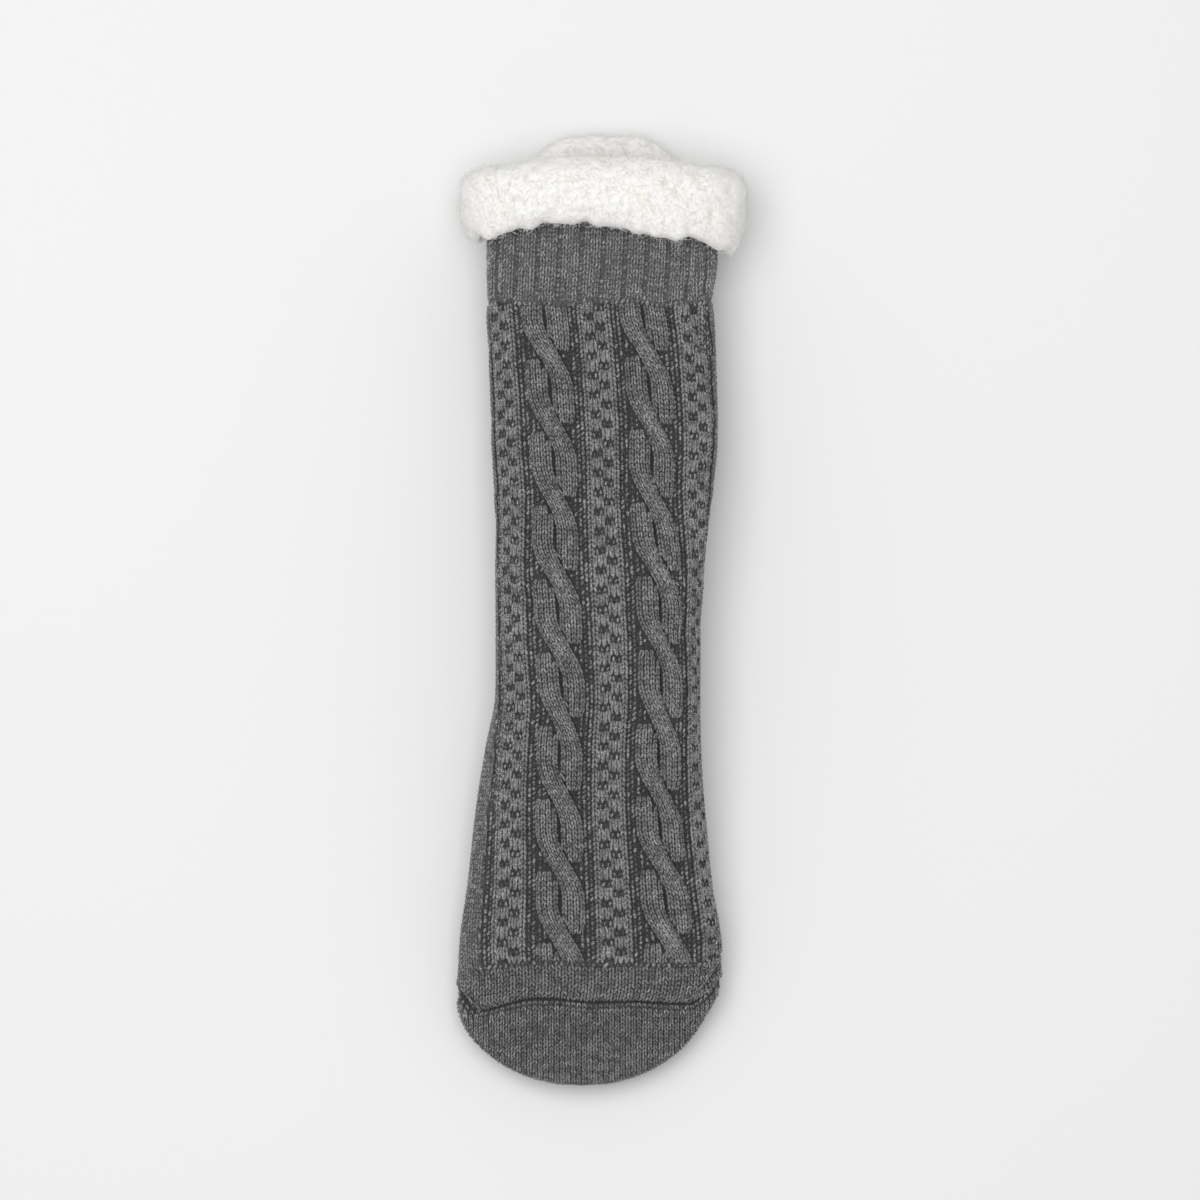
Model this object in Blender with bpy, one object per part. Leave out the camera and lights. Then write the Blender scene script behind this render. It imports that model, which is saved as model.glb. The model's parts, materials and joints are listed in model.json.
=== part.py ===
"""A cable-knit slipper sock, for either foot, with a turned-down cuff of sherpa fleece.

It rests on its sole, at the heel and the forefoot, and its slack leg lies out flat
behind the heel on the turned cuff. The toe points to -Y, the collar opens to +Y, and
the origin is on the floor under the heel.
"""

import math
from collections import namedtuple

import bmesh
import bpy

# Driving sizes, in metres
KNIT_LENGTH = 0.395  # toe tip to the top edge of the ribbed band
FOOT_WIDTH = 0.115  # widest, across the toes
ANKLE_HEIGHT = 0.057  # instep over the floor, above the heel
KNIT_WALL = 0.003  # knitted fabric
TOE_ROUND = 0.046  # length over which the toe's outline rounds off, from above
NOSE_ROUND = 0.017  # length over which the toe's height rounds off, from the side
FIT_GAP = 0.0003  # between two pieces that meet

# Toe seam, where the plain toe cap is linked to the instep
SEAM_FROM_TOE = 0.0375  # on top of the toes
EAR_SETBACK = 0.012  # the seam's ends lie this much further back, at the sides
EAR_FADE = 0.030  # length behind the seam where the rows become straight again
EDGE_ROLL = 0.0025  # length over which the instep's edge rolls down
EDGE_DIP = 0.0006
SEAM_TUCK = 0.0011  # the cap's edge dips this far under the instep's edge
TUCK_LENGTH = 0.007

# Knitted pattern: a repeat is one seed-stitch column and one cable
REPEATS = 6
TOE_BAND = 0.0155  # plain rows between the toe seam and the pattern
RIB_BAND = 0.0487  # plain ribs between the pattern and the rim
PANEL_FADE = 0.003  # length over which the relief rises from the plain rows
FIRST_CROSSING = 0.007  # first patterned row to the cables' first crossing
CABLE_PERIOD = 0.0321
CABLE_HEIGHT = 0.0021
SEED_HEIGHT = 0.0007
RIB_HEIGHT = 0.0004  # the ribbed band stands out over the base of the gutters

FRONT_STRETCH = 0.10  # the front's repeats are wider by this share, the back's narrower

# The pattern across one repeat and one cable period, as shares of them
STRAND_OFFSET = 0.107  # strand centre to cable centre
STRAND_HALF_WIDTH = 0.118
CROSSING_WIDTH = 0.72  # a strand's width at the crossing, of its full width
CROSSING_SHARE = 0.24  # half of a crossing's length
SEED_HALF_WIDTH = 0.17
EDGE_SHARE = 0.05  # half of the soft edge of a column
SOLE_REPEATS = 1.30  # from the front's middle to the plain sole
SEAM_FRONT_SHARE = 0.10  # of the girth, from the top's middle to the seam's bends
SEAM_SIDE_SHARE = 0.24

# Sherpa cuff: the fleece lining, turned down over the ribbed band
CUFF_THICKNESS = 0.0125  # pile outside the band, at the sides and the front
CUFF_FLOOR_THICKNESS = 0.0095  # pile between the band and the floor, pressed flat
CUFF_TUCK_THICKNESS = 0.0050  # pile inside the collar
CUFF_FRONT_DROP = 0.0135  # rim of the knit down to the cuff's lower edge, at the front
CUFF_SIDE_DROP = 0.0255  # the same, at the sides and the back
CUFF_EDGE_LIFT = 0.0006  # the loose lower edge stands off the band
CUFF_HEM = 0.0020  # the fleece's cut edge, seen from outside
CUFF_TUCK = 0.030  # rim of the knit down to the fleece's last row inside
CUFF_FRONT_RISE = 0.0145  # rim of the knit to the front lip
CUFF_SIDE_RISE = 0.0100  # rim of the knit to the lip at the sides
CUFF_BACK_RISE = 0.0250  # rim of the knit to the back lip
LOCK_HEIGHT = 0.0028  # tufts of pile, fused on
CUFF_SIDE_START, CUFF_SIDE_FULL = 0.05, 0.22  # shares of the girth from the top's middle
CUFF_BACK_START, CUFF_BACK_FULL = 0.27, 0.38

# Mesh density
REPEAT_COLUMNS = (0.00, 0.15, 0.25, 0.39, 0.50, 0.61, 0.75, 0.85)  # shares of a repeat
ROWS_PER_PERIOD = 6
BAND_ROW_COUNT = 5
TOE_ROW_COUNT = 8
TOE_ROW_GROWTH = 1.7  # the rows are closer at the tip
INNER_TOE_ROW_COUNT = 6
INNER_ROW_COUNT = 16
TUCKED_ROW_COUNT = 2
OUTLINE_STEP_COUNT = 180
SMOOTH_ANGLE = math.radians(50)

# The sock's sections, from the toe tip to the rim. along: share of KNIT_LENGTH.
# shift: middle to the +X side, width: whole width, twist: pattern to the +X side, all
# shares of FOOT_WIDTH. top, bottom: heights as shares of ANKLE_HEIGHT, where a bottom
# under zero is pressed flat by the floor. square: 2 is an ellipse, more is boxier.
Section = namedtuple("Section", "along shift width top bottom square twist")
SECTIONS = (
    Section(0.000, -0.062, 1.000, 0.410, -0.020, 2.0, 0.100),
    Section(0.063, -0.062, 1.000, 0.470, -0.030, 2.3, 0.100),
    Section(0.120, -0.032, 1.000, 0.540, -0.040, 2.6, 0.098),
    Section(0.157, -0.030, 0.992, 0.590, -0.040, 2.7, 0.095),
    Section(0.228, -0.033, 0.922, 0.670, -0.018, 2.7, 0.088),
    Section(0.304, -0.031, 0.868, 0.755, 0.030, 2.7, 0.074),
    Section(0.375, -0.020, 0.814, 0.850, 0.026, 2.6, 0.062),
    Section(0.443, -0.001, 0.770, 0.945, -0.020, 2.5, 0.053),
    Section(0.506, 0.000, 0.771, 1.000, -0.055, 2.5, 0.046),
    Section(0.580, 0.008, 0.790, 0.985, -0.030, 2.6, 0.026),
    Section(0.615, 0.014, 0.797, 0.965, 0.085, 2.7, 0.014),
    Section(0.665, 0.022, 0.808, 0.930, 0.190, 2.8, 0.000),
    Section(0.726, 0.026, 0.836, 0.890, 0.165, 3.0, -0.008),
    Section(0.825, 0.016, 0.840, 0.850, 0.140, 3.0, -0.020),
    Section(0.877, 0.008, 0.845, 0.820, 0.145, 3.0, -0.027),
    Section(0.916, 0.016, 0.866, 0.810, 0.160, 2.9, -0.027),
    Section(1.000, 0.022, 0.876, 0.800, 0.180, 2.8, -0.020),
)
HEEL_ALONG = 0.5266  # middle of the heel, where the origin lies
HEEL_END_ALONG = 0.6330  # back of the plain heel

# The cuff's pile, from its lower edge over the lip and into the collar. reach: -1 at the
# lower edge, 0 at the rim and 1 at the lip. depth: share of the pile's thickness outside
# the band, or under zero, share of the way from the band's face to the pile's face inside.
Pile = namedtuple("Pile", "reach depth")
CUFF_PILE = (
    Pile(-1.00, 0.75),
    Pile(-0.52, 1.00),
    Pile(-0.04, 1.00),
    Pile(0.34, 0.96),
    Pile(0.66, 0.72),
    Pile(0.92, 0.32),
    Pile(1.00, -0.08),
    Pile(0.82, -0.80),
    Pile(0.30, -1.00),
)
HEM_DEPTH = 0.35

# Places worked out from the sizes, as distances from the toe tip
HEEL = HEEL_ALONG * KNIT_LENGTH
HEEL_END = HEEL_END_ALONG * KNIT_LENGTH
PANEL_START = SEAM_FROM_TOE + TOE_BAND
PANEL_END = KNIT_LENGTH - RIB_BAND
CUFF_TUCK_END = KNIT_LENGTH - CUFF_TUCK


def clamp(value, low=0.0, high=1.0):
    return max(low, min(high, value))


def smooth(low, high, value):
    """0 at low, 1 at high, with soft ends."""
    t = clamp((value - low) / (high - low))
    return t * t * (3 - 2 * t)


def mix(start, end, share):
    return start + (end - start) * share


def spaced(start, end, steps):
    return [mix(start, end, i / steps) for i in range(steps + 1)]


def secant(i, column):
    """The mean slope of a column between row i of the table and the next."""
    start, end = SECTIONS[i], SECTIONS[i + 1]
    return (getattr(end, column) - getattr(start, column)) / (end.along - start.along)


def table_slope(i, column):
    """The slope at a row of the table, level where the column turns back."""
    before = secant(max(i - 1, 0), column)
    after = secant(min(i, len(SECTIONS) - 2), column)
    return 0.0 if before * after <= 0 else 2 * before * after / (before + after)


def table_value(column, along):
    """A column of the table, read smoothly between its rows."""
    along = clamp(along)
    i = next(j for j in range(len(SECTIONS) - 1) if along <= SECTIONS[j + 1].along)
    start, end = SECTIONS[i], SECTIONS[i + 1]
    span = end.along - start.along
    t = (along - start.along) / span
    return (
        getattr(start, column) * (1 + 2 * t) * (1 - t) ** 2
        + getattr(end, column) * t * t * (3 - 2 * t)
        + table_slope(i, column) * span * t * (1 - t) ** 2
        - table_slope(i + 1, column) * span * t * t * (1 - t)
    )


def rounding(distance, length):
    """The share of full size that a rounded end has reached at a distance from its tip."""
    return math.sqrt(1 - (1 - clamp(distance / length)) ** 2)


def signed_power(value, power):
    return math.copysign(abs(value) ** power, value)


class Outline:
    """The closed outline of the sock, square to its length, at a distance from the toe
    tip. inset moves it into the wall. It is read by the share of its girth, from the
    middle of the top towards +X."""

    def __init__(self, distance, inset=0.0):
        along = distance / KNIT_LENGTH
        self.y = distance - HEEL
        plan = rounding(distance - inset, TOE_ROUND - inset)
        nose = rounding(distance - inset, NOSE_ROUND - inset)
        top = table_value("top", along) * ANKLE_HEIGHT
        bottom = table_value("bottom", along) * ANKLE_HEIGHT
        half_width = (table_value("width", along) * FOOT_WIDTH / 2 - inset) * plan
        half_height = ((top - bottom) / 2 - inset) * nose
        power = 2 / table_value("square", along)
        self.middle = (table_value("shift", along) * FOOT_WIDTH, (top + bottom) / 2)
        self.points = []
        for i in range(OUTLINE_STEP_COUNT):
            angle = 2 * math.pi * i / OUTLINE_STEP_COUNT
            x = self.middle[0] + half_width * signed_power(math.sin(angle), power)
            z = self.middle[1] + half_height * signed_power(math.cos(angle), power)
            self.points.append((x, max(z, inset)))
        self.lengths = [0.0]
        for a, b in zip(self.points, self.points[1:] + self.points[:1]):
            self.lengths.append(self.lengths[-1] + math.dist(a, b))
        self.girth = self.lengths[-1]

    def at(self, share, raised=0.0):
        """The point at that share of the girth, raised out of the surface."""
        target = (share % 1.0) * self.girth
        low, high = 0, OUTLINE_STEP_COUNT
        while high - low > 1:
            half = (low + high) // 2
            low, high = (half, high) if self.lengths[half] <= target else (low, half)
        step = self.lengths[low + 1] - self.lengths[low]
        t = (target - self.lengths[low]) / step if step else 0.0
        a = self.points[low]
        b = self.points[(low + 1) % OUTLINE_STEP_COUNT]
        before = self.points[low - 1]
        after = self.points[(low + 2) % OUTLINE_STEP_COUNT]
        dx, dz = after[0] - before[0], after[1] - before[1]
        size = math.hypot(dx, dz) or 1.0
        x = mix(a[0], b[0], t) - raised * dz / size
        z = mix(a[1], b[1], t) + raised * dx / size
        return (x, self.y, z)


def girth_share(repeat, distance, outline):
    """The share of the girth where a place in the pattern lies, twist included."""
    twist = table_value("twist", distance / KNIT_LENGTH) * FOOT_WIDTH
    stretch = FRONT_STRETCH * math.sin(2 * math.pi * repeat / REPEATS) / (2 * math.pi)
    return repeat / REPEATS + stretch + twist / outline.girth


def from_top_share(share):
    """How far a share of the girth lies from the middle of the top, either way."""
    return abs((share + 0.5) % 1.0 - 0.5)


def pattern_columns():
    return [n + share for n in range(REPEATS) for share in REPEAT_COLUMNS]


def cable_relief(across, phase):
    """Height of a two-strand cable, from 0 to 1. across runs from the cable's middle as a
    share of a repeat, and phase from -0.5 to 0.5 towards the cuff, with the crossing at 0."""
    turn = clamp(phase / CROSSING_SHARE, -1, 1)
    front = -STRAND_OFFSET * math.sin(turn * math.pi / 2)
    half_width = STRAND_HALF_WIDTH * mix(CROSSING_WIDTH, 1, abs(turn))
    heights = []
    for centre, strength in ((front, 1.0), (-front, turn * turn)):
        reach = clamp((across - centre) / half_width, -1, 1)
        heights.append(strength * math.sqrt(1 - reach * reach))
    return max(heights)


def pattern_relief(repeat, distance):
    """Height of the cables, the seed-stitch columns and the band over the gutters."""
    panel = smooth(PANEL_START, PANEL_START + PANEL_FADE, distance)
    panel *= 1 - smooth(PANEL_END - PANEL_FADE, PANEL_END, distance)
    from_front = abs((repeat + REPEATS / 2) % REPEATS - REPEATS / 2)
    on_sole = smooth(SOLE_REPEATS - EDGE_SHARE, SOLE_REPEATS + EDGE_SHARE, from_front)
    on_sole *= 1 - smooth(HEEL_END - PANEL_FADE, HEEL_END, distance)
    across = repeat % 1.0 - 0.5
    phase = ((distance - PANEL_START - FIRST_CROSSING) / CABLE_PERIOD + 0.5) % 1.0 - 0.5
    cable = CABLE_HEIGHT * cable_relief(across, phase)
    from_seed = 0.5 - abs(across)
    seed_edge = smooth(SEED_HALF_WIDTH - EDGE_SHARE, SEED_HALF_WIDTH + EDGE_SHARE, from_seed)
    pattern = max(cable, SEED_HEIGHT * (1 - seed_edge))
    rib = RIB_HEIGHT * smooth(PANEL_END, PANEL_END + PANEL_FADE, distance)
    return panel * (1 - on_sole) * pattern + rib


def seam_distance(repeat):
    """Toe tip to the toe seam: further back at the sides and under the toes."""
    share = girth_share(repeat, SEAM_FROM_TOE, Outline(SEAM_FROM_TOE))
    bend = smooth(SEAM_FRONT_SHARE, SEAM_SIDE_SHARE, from_top_share(share))
    return SEAM_FROM_TOE + EAR_SETBACK * bend


def ring(distance_of, raised_of=None, inset=0.0):
    """One closed row of points: each column at its own distance from the toe tip."""
    points = []
    for repeat in pattern_columns():
        distance = distance_of(repeat)
        share = girth_share(repeat, distance, Outline(distance))
        raised = raised_of(repeat, distance) if raised_of else 0.0
        points.append(Outline(distance, inset).at(share, raised))
    return points


def build_object(name, rows, closed=True, poles=()):
    """An object from rows of points, each joined to the next. closed joins the last row
    to the first, and otherwise each of the two end rows closes in its pole."""
    builder = bmesh.new()
    loops = [[builder.verts.new(point) for point in row] for row in rows]
    pairs = list(zip(loops, loops[1:]))
    if closed:
        pairs.append((loops[-1], loops[0]))
    for first, second in pairs:
        for i in range(len(first)):
            j = (i + 1) % len(first)
            builder.faces.new((first[i], first[j], second[j], second[i]))
    for pole, loop in zip(poles, (loops[0], loops[-1])):
        tip = builder.verts.new(pole)
        for i in range(len(loop)):
            builder.faces.new((loop[i], loop[(i + 1) % len(loop)], tip))
    bmesh.ops.recalc_face_normals(builder, faces=builder.faces)
    mesh = bpy.data.meshes.new(name)
    builder.to_mesh(mesh)
    builder.free()
    mesh.shade_smooth()
    mesh.set_sharp_from_angle(angle=SMOOTH_ANGLE)
    piece = bpy.data.objects.new(name, mesh)
    bpy.context.scene.collection.objects.link(piece)
    return piece


def add_material(piece, name, colour, roughness):
    material = bpy.data.materials.new(name)
    material.use_nodes = True
    shader = material.node_tree.nodes["Principled BSDF"]
    shader.inputs["Base Color"].default_value = (*colour, 1)
    shader.inputs["Roughness"].default_value = roughness
    shader.inputs["Metallic"].default_value = 0.0
    piece.data.materials.append(material)


def upper_ring(row, raised_of=None, inset=0.0):
    """A row of the upper. It follows the seam and becomes straight over EAR_FADE."""
    fade = clamp(1 - (row - SEAM_FROM_TOE) / EAR_FADE)

    def distance_of(repeat):
        return row + (seam_distance(repeat) - SEAM_FROM_TOE) * fade

    return ring(distance_of, raised_of, inset)


def knit_upper_and_sole():
    """Leg, instep, heel and sole, knitted whole: a hollow tube, open at the collar and
    at the toe seam."""

    def raised(repeat, distance):
        to_edge = 1 - clamp((distance - seam_distance(repeat)) / EDGE_ROLL)
        return pattern_relief(repeat, distance) - EDGE_DIP * to_edge

    toe_band = [SEAM_FROM_TOE, SEAM_FROM_TOE + EDGE_ROLL, SEAM_FROM_TOE + TOE_BAND / 2]
    panel_steps = round((PANEL_END - PANEL_START) / CABLE_PERIOD * ROWS_PER_PERIOD)
    panel = spaced(PANEL_START, PANEL_END, panel_steps)
    rib_band = spaced(PANEL_END, KNIT_LENGTH, BAND_ROW_COUNT)[1:]
    outer = [upper_ring(row, raised) for row in toe_band + panel + rib_band]
    inner_rows = spaced(SEAM_FROM_TOE, CUFF_TUCK_END, INNER_ROW_COUNT)
    inner_rows += spaced(CUFF_TUCK_END, KNIT_LENGTH, TUCKED_ROW_COUNT)[1:]
    inner = [upper_ring(row, inset=KNIT_WALL) for row in inner_rows]
    piece = build_object("knit_upper_and_sole", outer + inner[::-1])
    add_material(piece, "grey_knit", (0.105, 0.104, 0.107), 0.92)


def toe_cap():
    """The plain toe pocket: a hollow cup, linked to the foot at the toe seam."""

    def tucked(repeat, distance):
        return -SEAM_TUCK * (1 - smooth(0, TUCK_LENGTH, seam_distance(repeat) - distance))

    def cup(rows, inset, raised_of=None):
        def row(share):
            return lambda repeat: mix(inset, seam_distance(repeat) - FIT_GAP, share)

        shares = [(i / rows) ** TOE_ROW_GROWTH for i in range(1, rows + 1)]
        return [ring(row(share), raised_of, inset) for share in shares]

    def tip(inset):
        outline = Outline(inset)
        return (outline.middle[0], inset - HEEL, outline.middle[1])

    outer = cup(TOE_ROW_COUNT, 0.0, tucked)
    inner = cup(INNER_TOE_ROW_COUNT, KNIT_WALL)
    rows = outer + inner[::-1]
    piece = build_object("toe_cap", rows, closed=False, poles=(tip(0.0), tip(KNIT_WALL)))
    add_material(piece, "plain_knit", (0.098, 0.097, 0.100), 0.92)


def tuft(column, row):
    """A fixed scatter of heights from -0.5 to 0.5 for the pile's tufts."""
    scatter = math.sin(12.9898 * column + 78.233 * row) * 43758.5453
    return scatter % 1.0 - 0.5


def cuff_profile(column, repeat):
    """The cuff cut along the leg: pairs of distance from the toe tip and height over the
    band's face, which is under zero inside the collar."""
    share = girth_share(repeat, KNIT_LENGTH, Outline(KNIT_LENGTH))
    to_side = smooth(CUFF_SIDE_START, CUFF_SIDE_FULL, from_top_share(share))
    to_back = smooth(CUFF_BACK_START, CUFF_BACK_FULL, from_top_share(share))
    thickness = mix(CUFF_THICKNESS, CUFF_FLOOR_THICKNESS, to_back)
    drop = mix(CUFF_FRONT_DROP, CUFF_SIDE_DROP, to_side)
    rise = mix(mix(CUFF_FRONT_RISE, CUFF_SIDE_RISE, to_side), CUFF_BACK_RISE, to_back)
    rim = KNIT_LENGTH + FIT_GAP
    hem = rim - drop
    covered = RIB_HEIGHT if hem > PANEL_END + PANEL_FADE else CABLE_HEIGHT
    outside = covered + FIT_GAP
    inside = -KNIT_WALL - FIT_GAP
    pile_face = inside - CUFF_TUCK_THICKNESS
    profile = [
        (hem + CUFF_HEM, outside + CUFF_EDGE_LIFT),
        (hem - CUFF_HEM, HEM_DEPTH * thickness),
    ]
    for row, pile in enumerate(CUFF_PILE):
        distance = rim + pile.reach * (drop if pile.reach < 0 else rise)
        height = pile.depth * (thickness if pile.depth > 0 else -pile_face)
        lock = LOCK_HEIGHT * (1 if pile.depth > 0 else 0.5)
        profile.append((distance, height + lock * tuft(column, row)))
    halfway = (rim + CUFF_TUCK_END) / 2
    profile += [(halfway, pile_face), (CUFF_TUCK_END, pile_face), (CUFF_TUCK_END, inside)]
    profile += [(halfway, inside), (rim, inside), (rim, outside), ((rim + hem) / 2, outside)]
    return profile


def cuff_point(repeat, distance, height):
    """A point over the band, or inside it where the height is under zero."""
    on_band = min(distance, KNIT_LENGTH)
    share = girth_share(repeat, on_band, Outline(on_band))
    x, y, z = Outline(on_band, max(-height, 0.0)).at(share, max(height, 0.0))
    return (x, y + distance - on_band, max(z, 0.0))


def sherpa_cuff():
    """The fleece collar: a ring with a hooked profile that clasps the band's rim."""
    rows = []
    for column, repeat in enumerate(pattern_columns()):
        profile = cuff_profile(column, repeat)
        rows.append([cuff_point(repeat, distance, height) for distance, height in profile])
    piece = build_object("sherpa_cuff", rows)
    add_material(piece, "sherpa_fleece", (0.86, 0.84, 0.81), 0.95)


for leftover in list(bpy.data.objects):
    bpy.data.objects.remove(leftover)
knit_upper_and_sole()
toe_cap()
sherpa_cuff()
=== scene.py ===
import json
import math

import bmesh
import bpy
import numpy as np
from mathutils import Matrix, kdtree

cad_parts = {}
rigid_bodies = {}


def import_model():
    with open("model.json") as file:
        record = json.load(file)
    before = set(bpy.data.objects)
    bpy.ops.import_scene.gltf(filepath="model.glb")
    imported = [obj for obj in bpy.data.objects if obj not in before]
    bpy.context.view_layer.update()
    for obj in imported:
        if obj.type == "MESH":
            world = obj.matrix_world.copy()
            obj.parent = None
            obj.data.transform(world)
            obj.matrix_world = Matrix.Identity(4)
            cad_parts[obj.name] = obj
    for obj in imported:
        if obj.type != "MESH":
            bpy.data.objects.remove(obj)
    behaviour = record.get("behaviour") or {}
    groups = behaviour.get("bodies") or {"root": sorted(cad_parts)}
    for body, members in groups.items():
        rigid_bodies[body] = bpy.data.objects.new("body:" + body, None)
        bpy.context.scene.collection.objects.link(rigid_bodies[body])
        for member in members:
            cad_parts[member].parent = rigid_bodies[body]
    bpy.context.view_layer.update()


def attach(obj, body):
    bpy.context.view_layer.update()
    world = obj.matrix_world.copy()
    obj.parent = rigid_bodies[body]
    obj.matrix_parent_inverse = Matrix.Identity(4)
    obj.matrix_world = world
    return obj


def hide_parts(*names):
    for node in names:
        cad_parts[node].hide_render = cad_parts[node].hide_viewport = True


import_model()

# A cable-knit slipper sock with a turned sherpa cuff, lying on a pale floor and seen
# from straight above. Sizes are in metres. The toe points to -Y, the collar opens to +Y,
# and the origin is on the floor under the heel.

# The sock's form, with the CAD part's own values but for restHeight
sockForm = {
    "knitLength": 0.395,  # toe tip to the rim of the knit
    "footWidth": 0.115,
    "ankleHeight": 0.057,
    "knitWall": 0.003,
    "toeRound": 0.046,  # length over which the toe rounds off, from above
    "noseRound": 0.017,  # the same, from the side
    "heel": 0.208007,  # toe tip to the middle of the heel
    "heelEnd": 0.250035,
    "fitGap": 0.0003,
    "restHeight": 0.0004,  # the ground lies this far over the floor, on its stitches
}

# along, shift, width, top, bottom, square, twist: shares of the knit's length, the foot's
# width and the ankle's height
sockSections = np.array((
    (0.000, -0.062, 1.000, 0.410, -0.020, 2.0, 0.100),
    (0.063, -0.062, 1.000, 0.470, -0.030, 2.3, 0.100),
    (0.120, -0.032, 1.000, 0.540, -0.040, 2.6, 0.098),
    (0.157, -0.030, 0.992, 0.590, -0.040, 2.7, 0.095),
    (0.228, -0.033, 0.922, 0.670, -0.018, 2.7, 0.088),
    (0.304, -0.031, 0.868, 0.755, 0.030, 2.7, 0.074),
    (0.375, -0.020, 0.814, 0.850, 0.026, 2.6, 0.062),
    (0.443, -0.001, 0.770, 0.945, -0.020, 2.5, 0.053),
    (0.506, 0.000, 0.771, 1.000, -0.055, 2.5, 0.046),
    (0.580, 0.008, 0.790, 0.985, -0.030, 2.6, 0.026),
    (0.615, 0.014, 0.797, 0.965, 0.085, 2.7, 0.014),
    (0.665, 0.022, 0.808, 0.930, 0.190, 2.8, 0.000),
    (0.726, 0.026, 0.836, 0.890, 0.165, 3.0, -0.008),
    (0.825, 0.016, 0.840, 0.850, 0.140, 3.0, -0.020),
    (0.877, 0.008, 0.845, 0.820, 0.145, 3.0, -0.027),
    (0.916, 0.016, 0.866, 0.810, 0.160, 2.9, -0.027),
    (1.000, 0.022, 0.876, 0.800, 0.180, 2.8, -0.020),
))
sectionColumns = {"shift": 1, "width": 2, "top": 3, "bottom": 4, "square": 5, "twist": 6}

# The knitted pattern, lengths from the toe tip and shares of a repeat
knitPattern = {
    "repeats": 6,  # a moss column and a cable in each
    "walesPerRepeat": 16,
    "coursesPerCable": 15,
    "panelStart": 0.053,
    "panelEnd": 0.3463,
    "panelFade": 0.003,
    "firstCrossing": 0.0136,
    "cablePeriod": 0.0321,
    "cableHeight": 0.0032,
    "mossHeight": 0.0007,
    "ribHeight": 0.0004,
    "ribDepth": 0.0018,
    "ribsPerRepeat": 4.5,  # 27 round the leg
    "ribStart": 0.082,
    "ribSharpness": 3.5,  # a narrow sunken wale between broad ribs
    "sink": 0.0006,  # the gutters lie this much lower
    "frontStretch": 0.10,
    "strandOffset": 0.127,
    "strandHalfWidth": 0.116,
    "crossingWidth": 0.92,
    "crossingShare": 0.49,
    "backStart": 0.06,  # the back strand comes up this far below the crossing
    "backGrow": 0.17,  # length over which its end is rounded
    "backSlow": 0.65,  # this much slower on the far side
    "backTip": 0.35,  # width of its rounded end, of its full width
    "groove": 0.024,  # between the two strands, where they cross
    "sideCalm": 0.60,  # the relief is this much lower round the sides
    "sideShares": (0.16, 0.23),  # of the girth, where the sides begin
    "heelFade": 0.014,
    "endFade": 0.009,  # the cables rise over this length at both ends of the panel
    "endRelief": 0.25,  # from this share of their height
    "mossHalfWidth": 0.17,
    "edgeShare": 0.05,
    "soleRepeats": 1.30,
    "courseWave": 0.0008,  # the courses are not quite level
}

# The chart: places of the wales in a repeat, from the middle of a moss column
knitChart = {
    "mossWales": (-0.138, -0.083, -0.028, 0.028, 0.083, 0.138),
    "dotReach": 0.10,
    "gutterWales": (-0.243, -0.198, 0.198, 0.243),
    "cableWales": (-0.195, -0.145, -0.095, -0.045, 0.005, 0.055, 0.105, 0.155, 0.205),
    "strandLanes": (-0.73, -0.24, 0.24, 0.73),
    # painted shade and light over each strand's round: its outer lanes darker, its middle lanes lighter
    "lanePaintedShades": (0.82, 1.08, 1.08, 0.82),
    "laneWidth": 0.49,
    "ribWales": (0.235, 0.50, 0.765),  # in a rib, whose sunken wale is at 0
    "dotCourses": 4,
}

toeSeam = {
    "fromToe": 0.0375,
    "under": 0.0495,  # toe tip to the seam, under the toes
    "earFade": 0.030,
    "edgeRoll": 0.0032,  # the instep's edge rolls down over this length
    "edgeDip": 0.0022,
    "edgePuff": 0.0005,
    "capDip": 0.0022,
    "capRoll": 0.0028,
    # the seam on top: distance to the +X side, distance from the toe tip
    "lineX": (-0.0640, -0.0606, -0.0545, -0.0474, -0.0351, -0.0280, -0.0179, -0.0029,
              0.0156, 0.0328, 0.0435, 0.0462, 0.0518, 0.0550),
    "lineD": (0.0445, 0.0410, 0.0328, 0.0341, 0.0377, 0.0390, 0.0387, 0.0372,
              0.0380, 0.0366, 0.0364, 0.0381, 0.0480, 0.0520),
    "lineEase": 0.002,  # the line is averaged over this distance to both sides
    "cornerShares": (0.235, 0.30),  # of the girth, where the top's line meets the lower one
}

# Rows and steps round the girth of the tables that hold the sock's faces
shellGrid = {"tipRows": 110, "legRows": 520, "steps": 360}

# Slow waves of the slack fabric
slackWaves = {"height": 0.0003, "rippleHeight": 0.00022}

# Soft troughs and ridges of the slack fabric, seen from above:
# start x, y, end x, y, half width, height
sockFolds = (
    (0.040, 0.135, 0.048, 0.172, 0.0022, -0.0026),
    (0.034, 0.139, 0.039, 0.171, 0.0019, -0.0017),
    (0.047, 0.112, 0.041, 0.140, 0.0022, -0.0027),
    (-0.046, -0.052, -0.052, -0.090, 0.0030, -0.0015),
    (0.004, 0.001, 0.044, -0.010, 0.0040, -0.0012),
    (-0.045, 0.010, -0.008, 0.000, 0.0040, -0.0009),
    (0.012, 0.018, 0.042, 0.012, 0.0035, 0.0008),
)

# The folded corners of the toe seam, in the same way
toeFolds = (
    (0.0575, -0.1520, 0.0415, -0.1725, 0.0016, -0.0024),
    (-0.0650, -0.1610, -0.0515, -0.1785, 0.0016, -0.0024),
    (0.0610, -0.1560, 0.0470, -0.1745, 0.0016, 0.0010),
    (-0.0665, -0.1665, -0.0545, -0.1800, 0.0016, 0.0010),
)


def soft(low, high, value):
    share = np.clip((value - low) / (high - low), 0, 1)
    return share * share * (3 - 2 * share)


def mix(start, end, share):
    return start + (end - start) * share


def unit(vectors):
    size = np.linalg.norm(vectors, axis=-1, keepdims=True)
    return vectors / np.where(size < 1e-12, 1, size)


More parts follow.
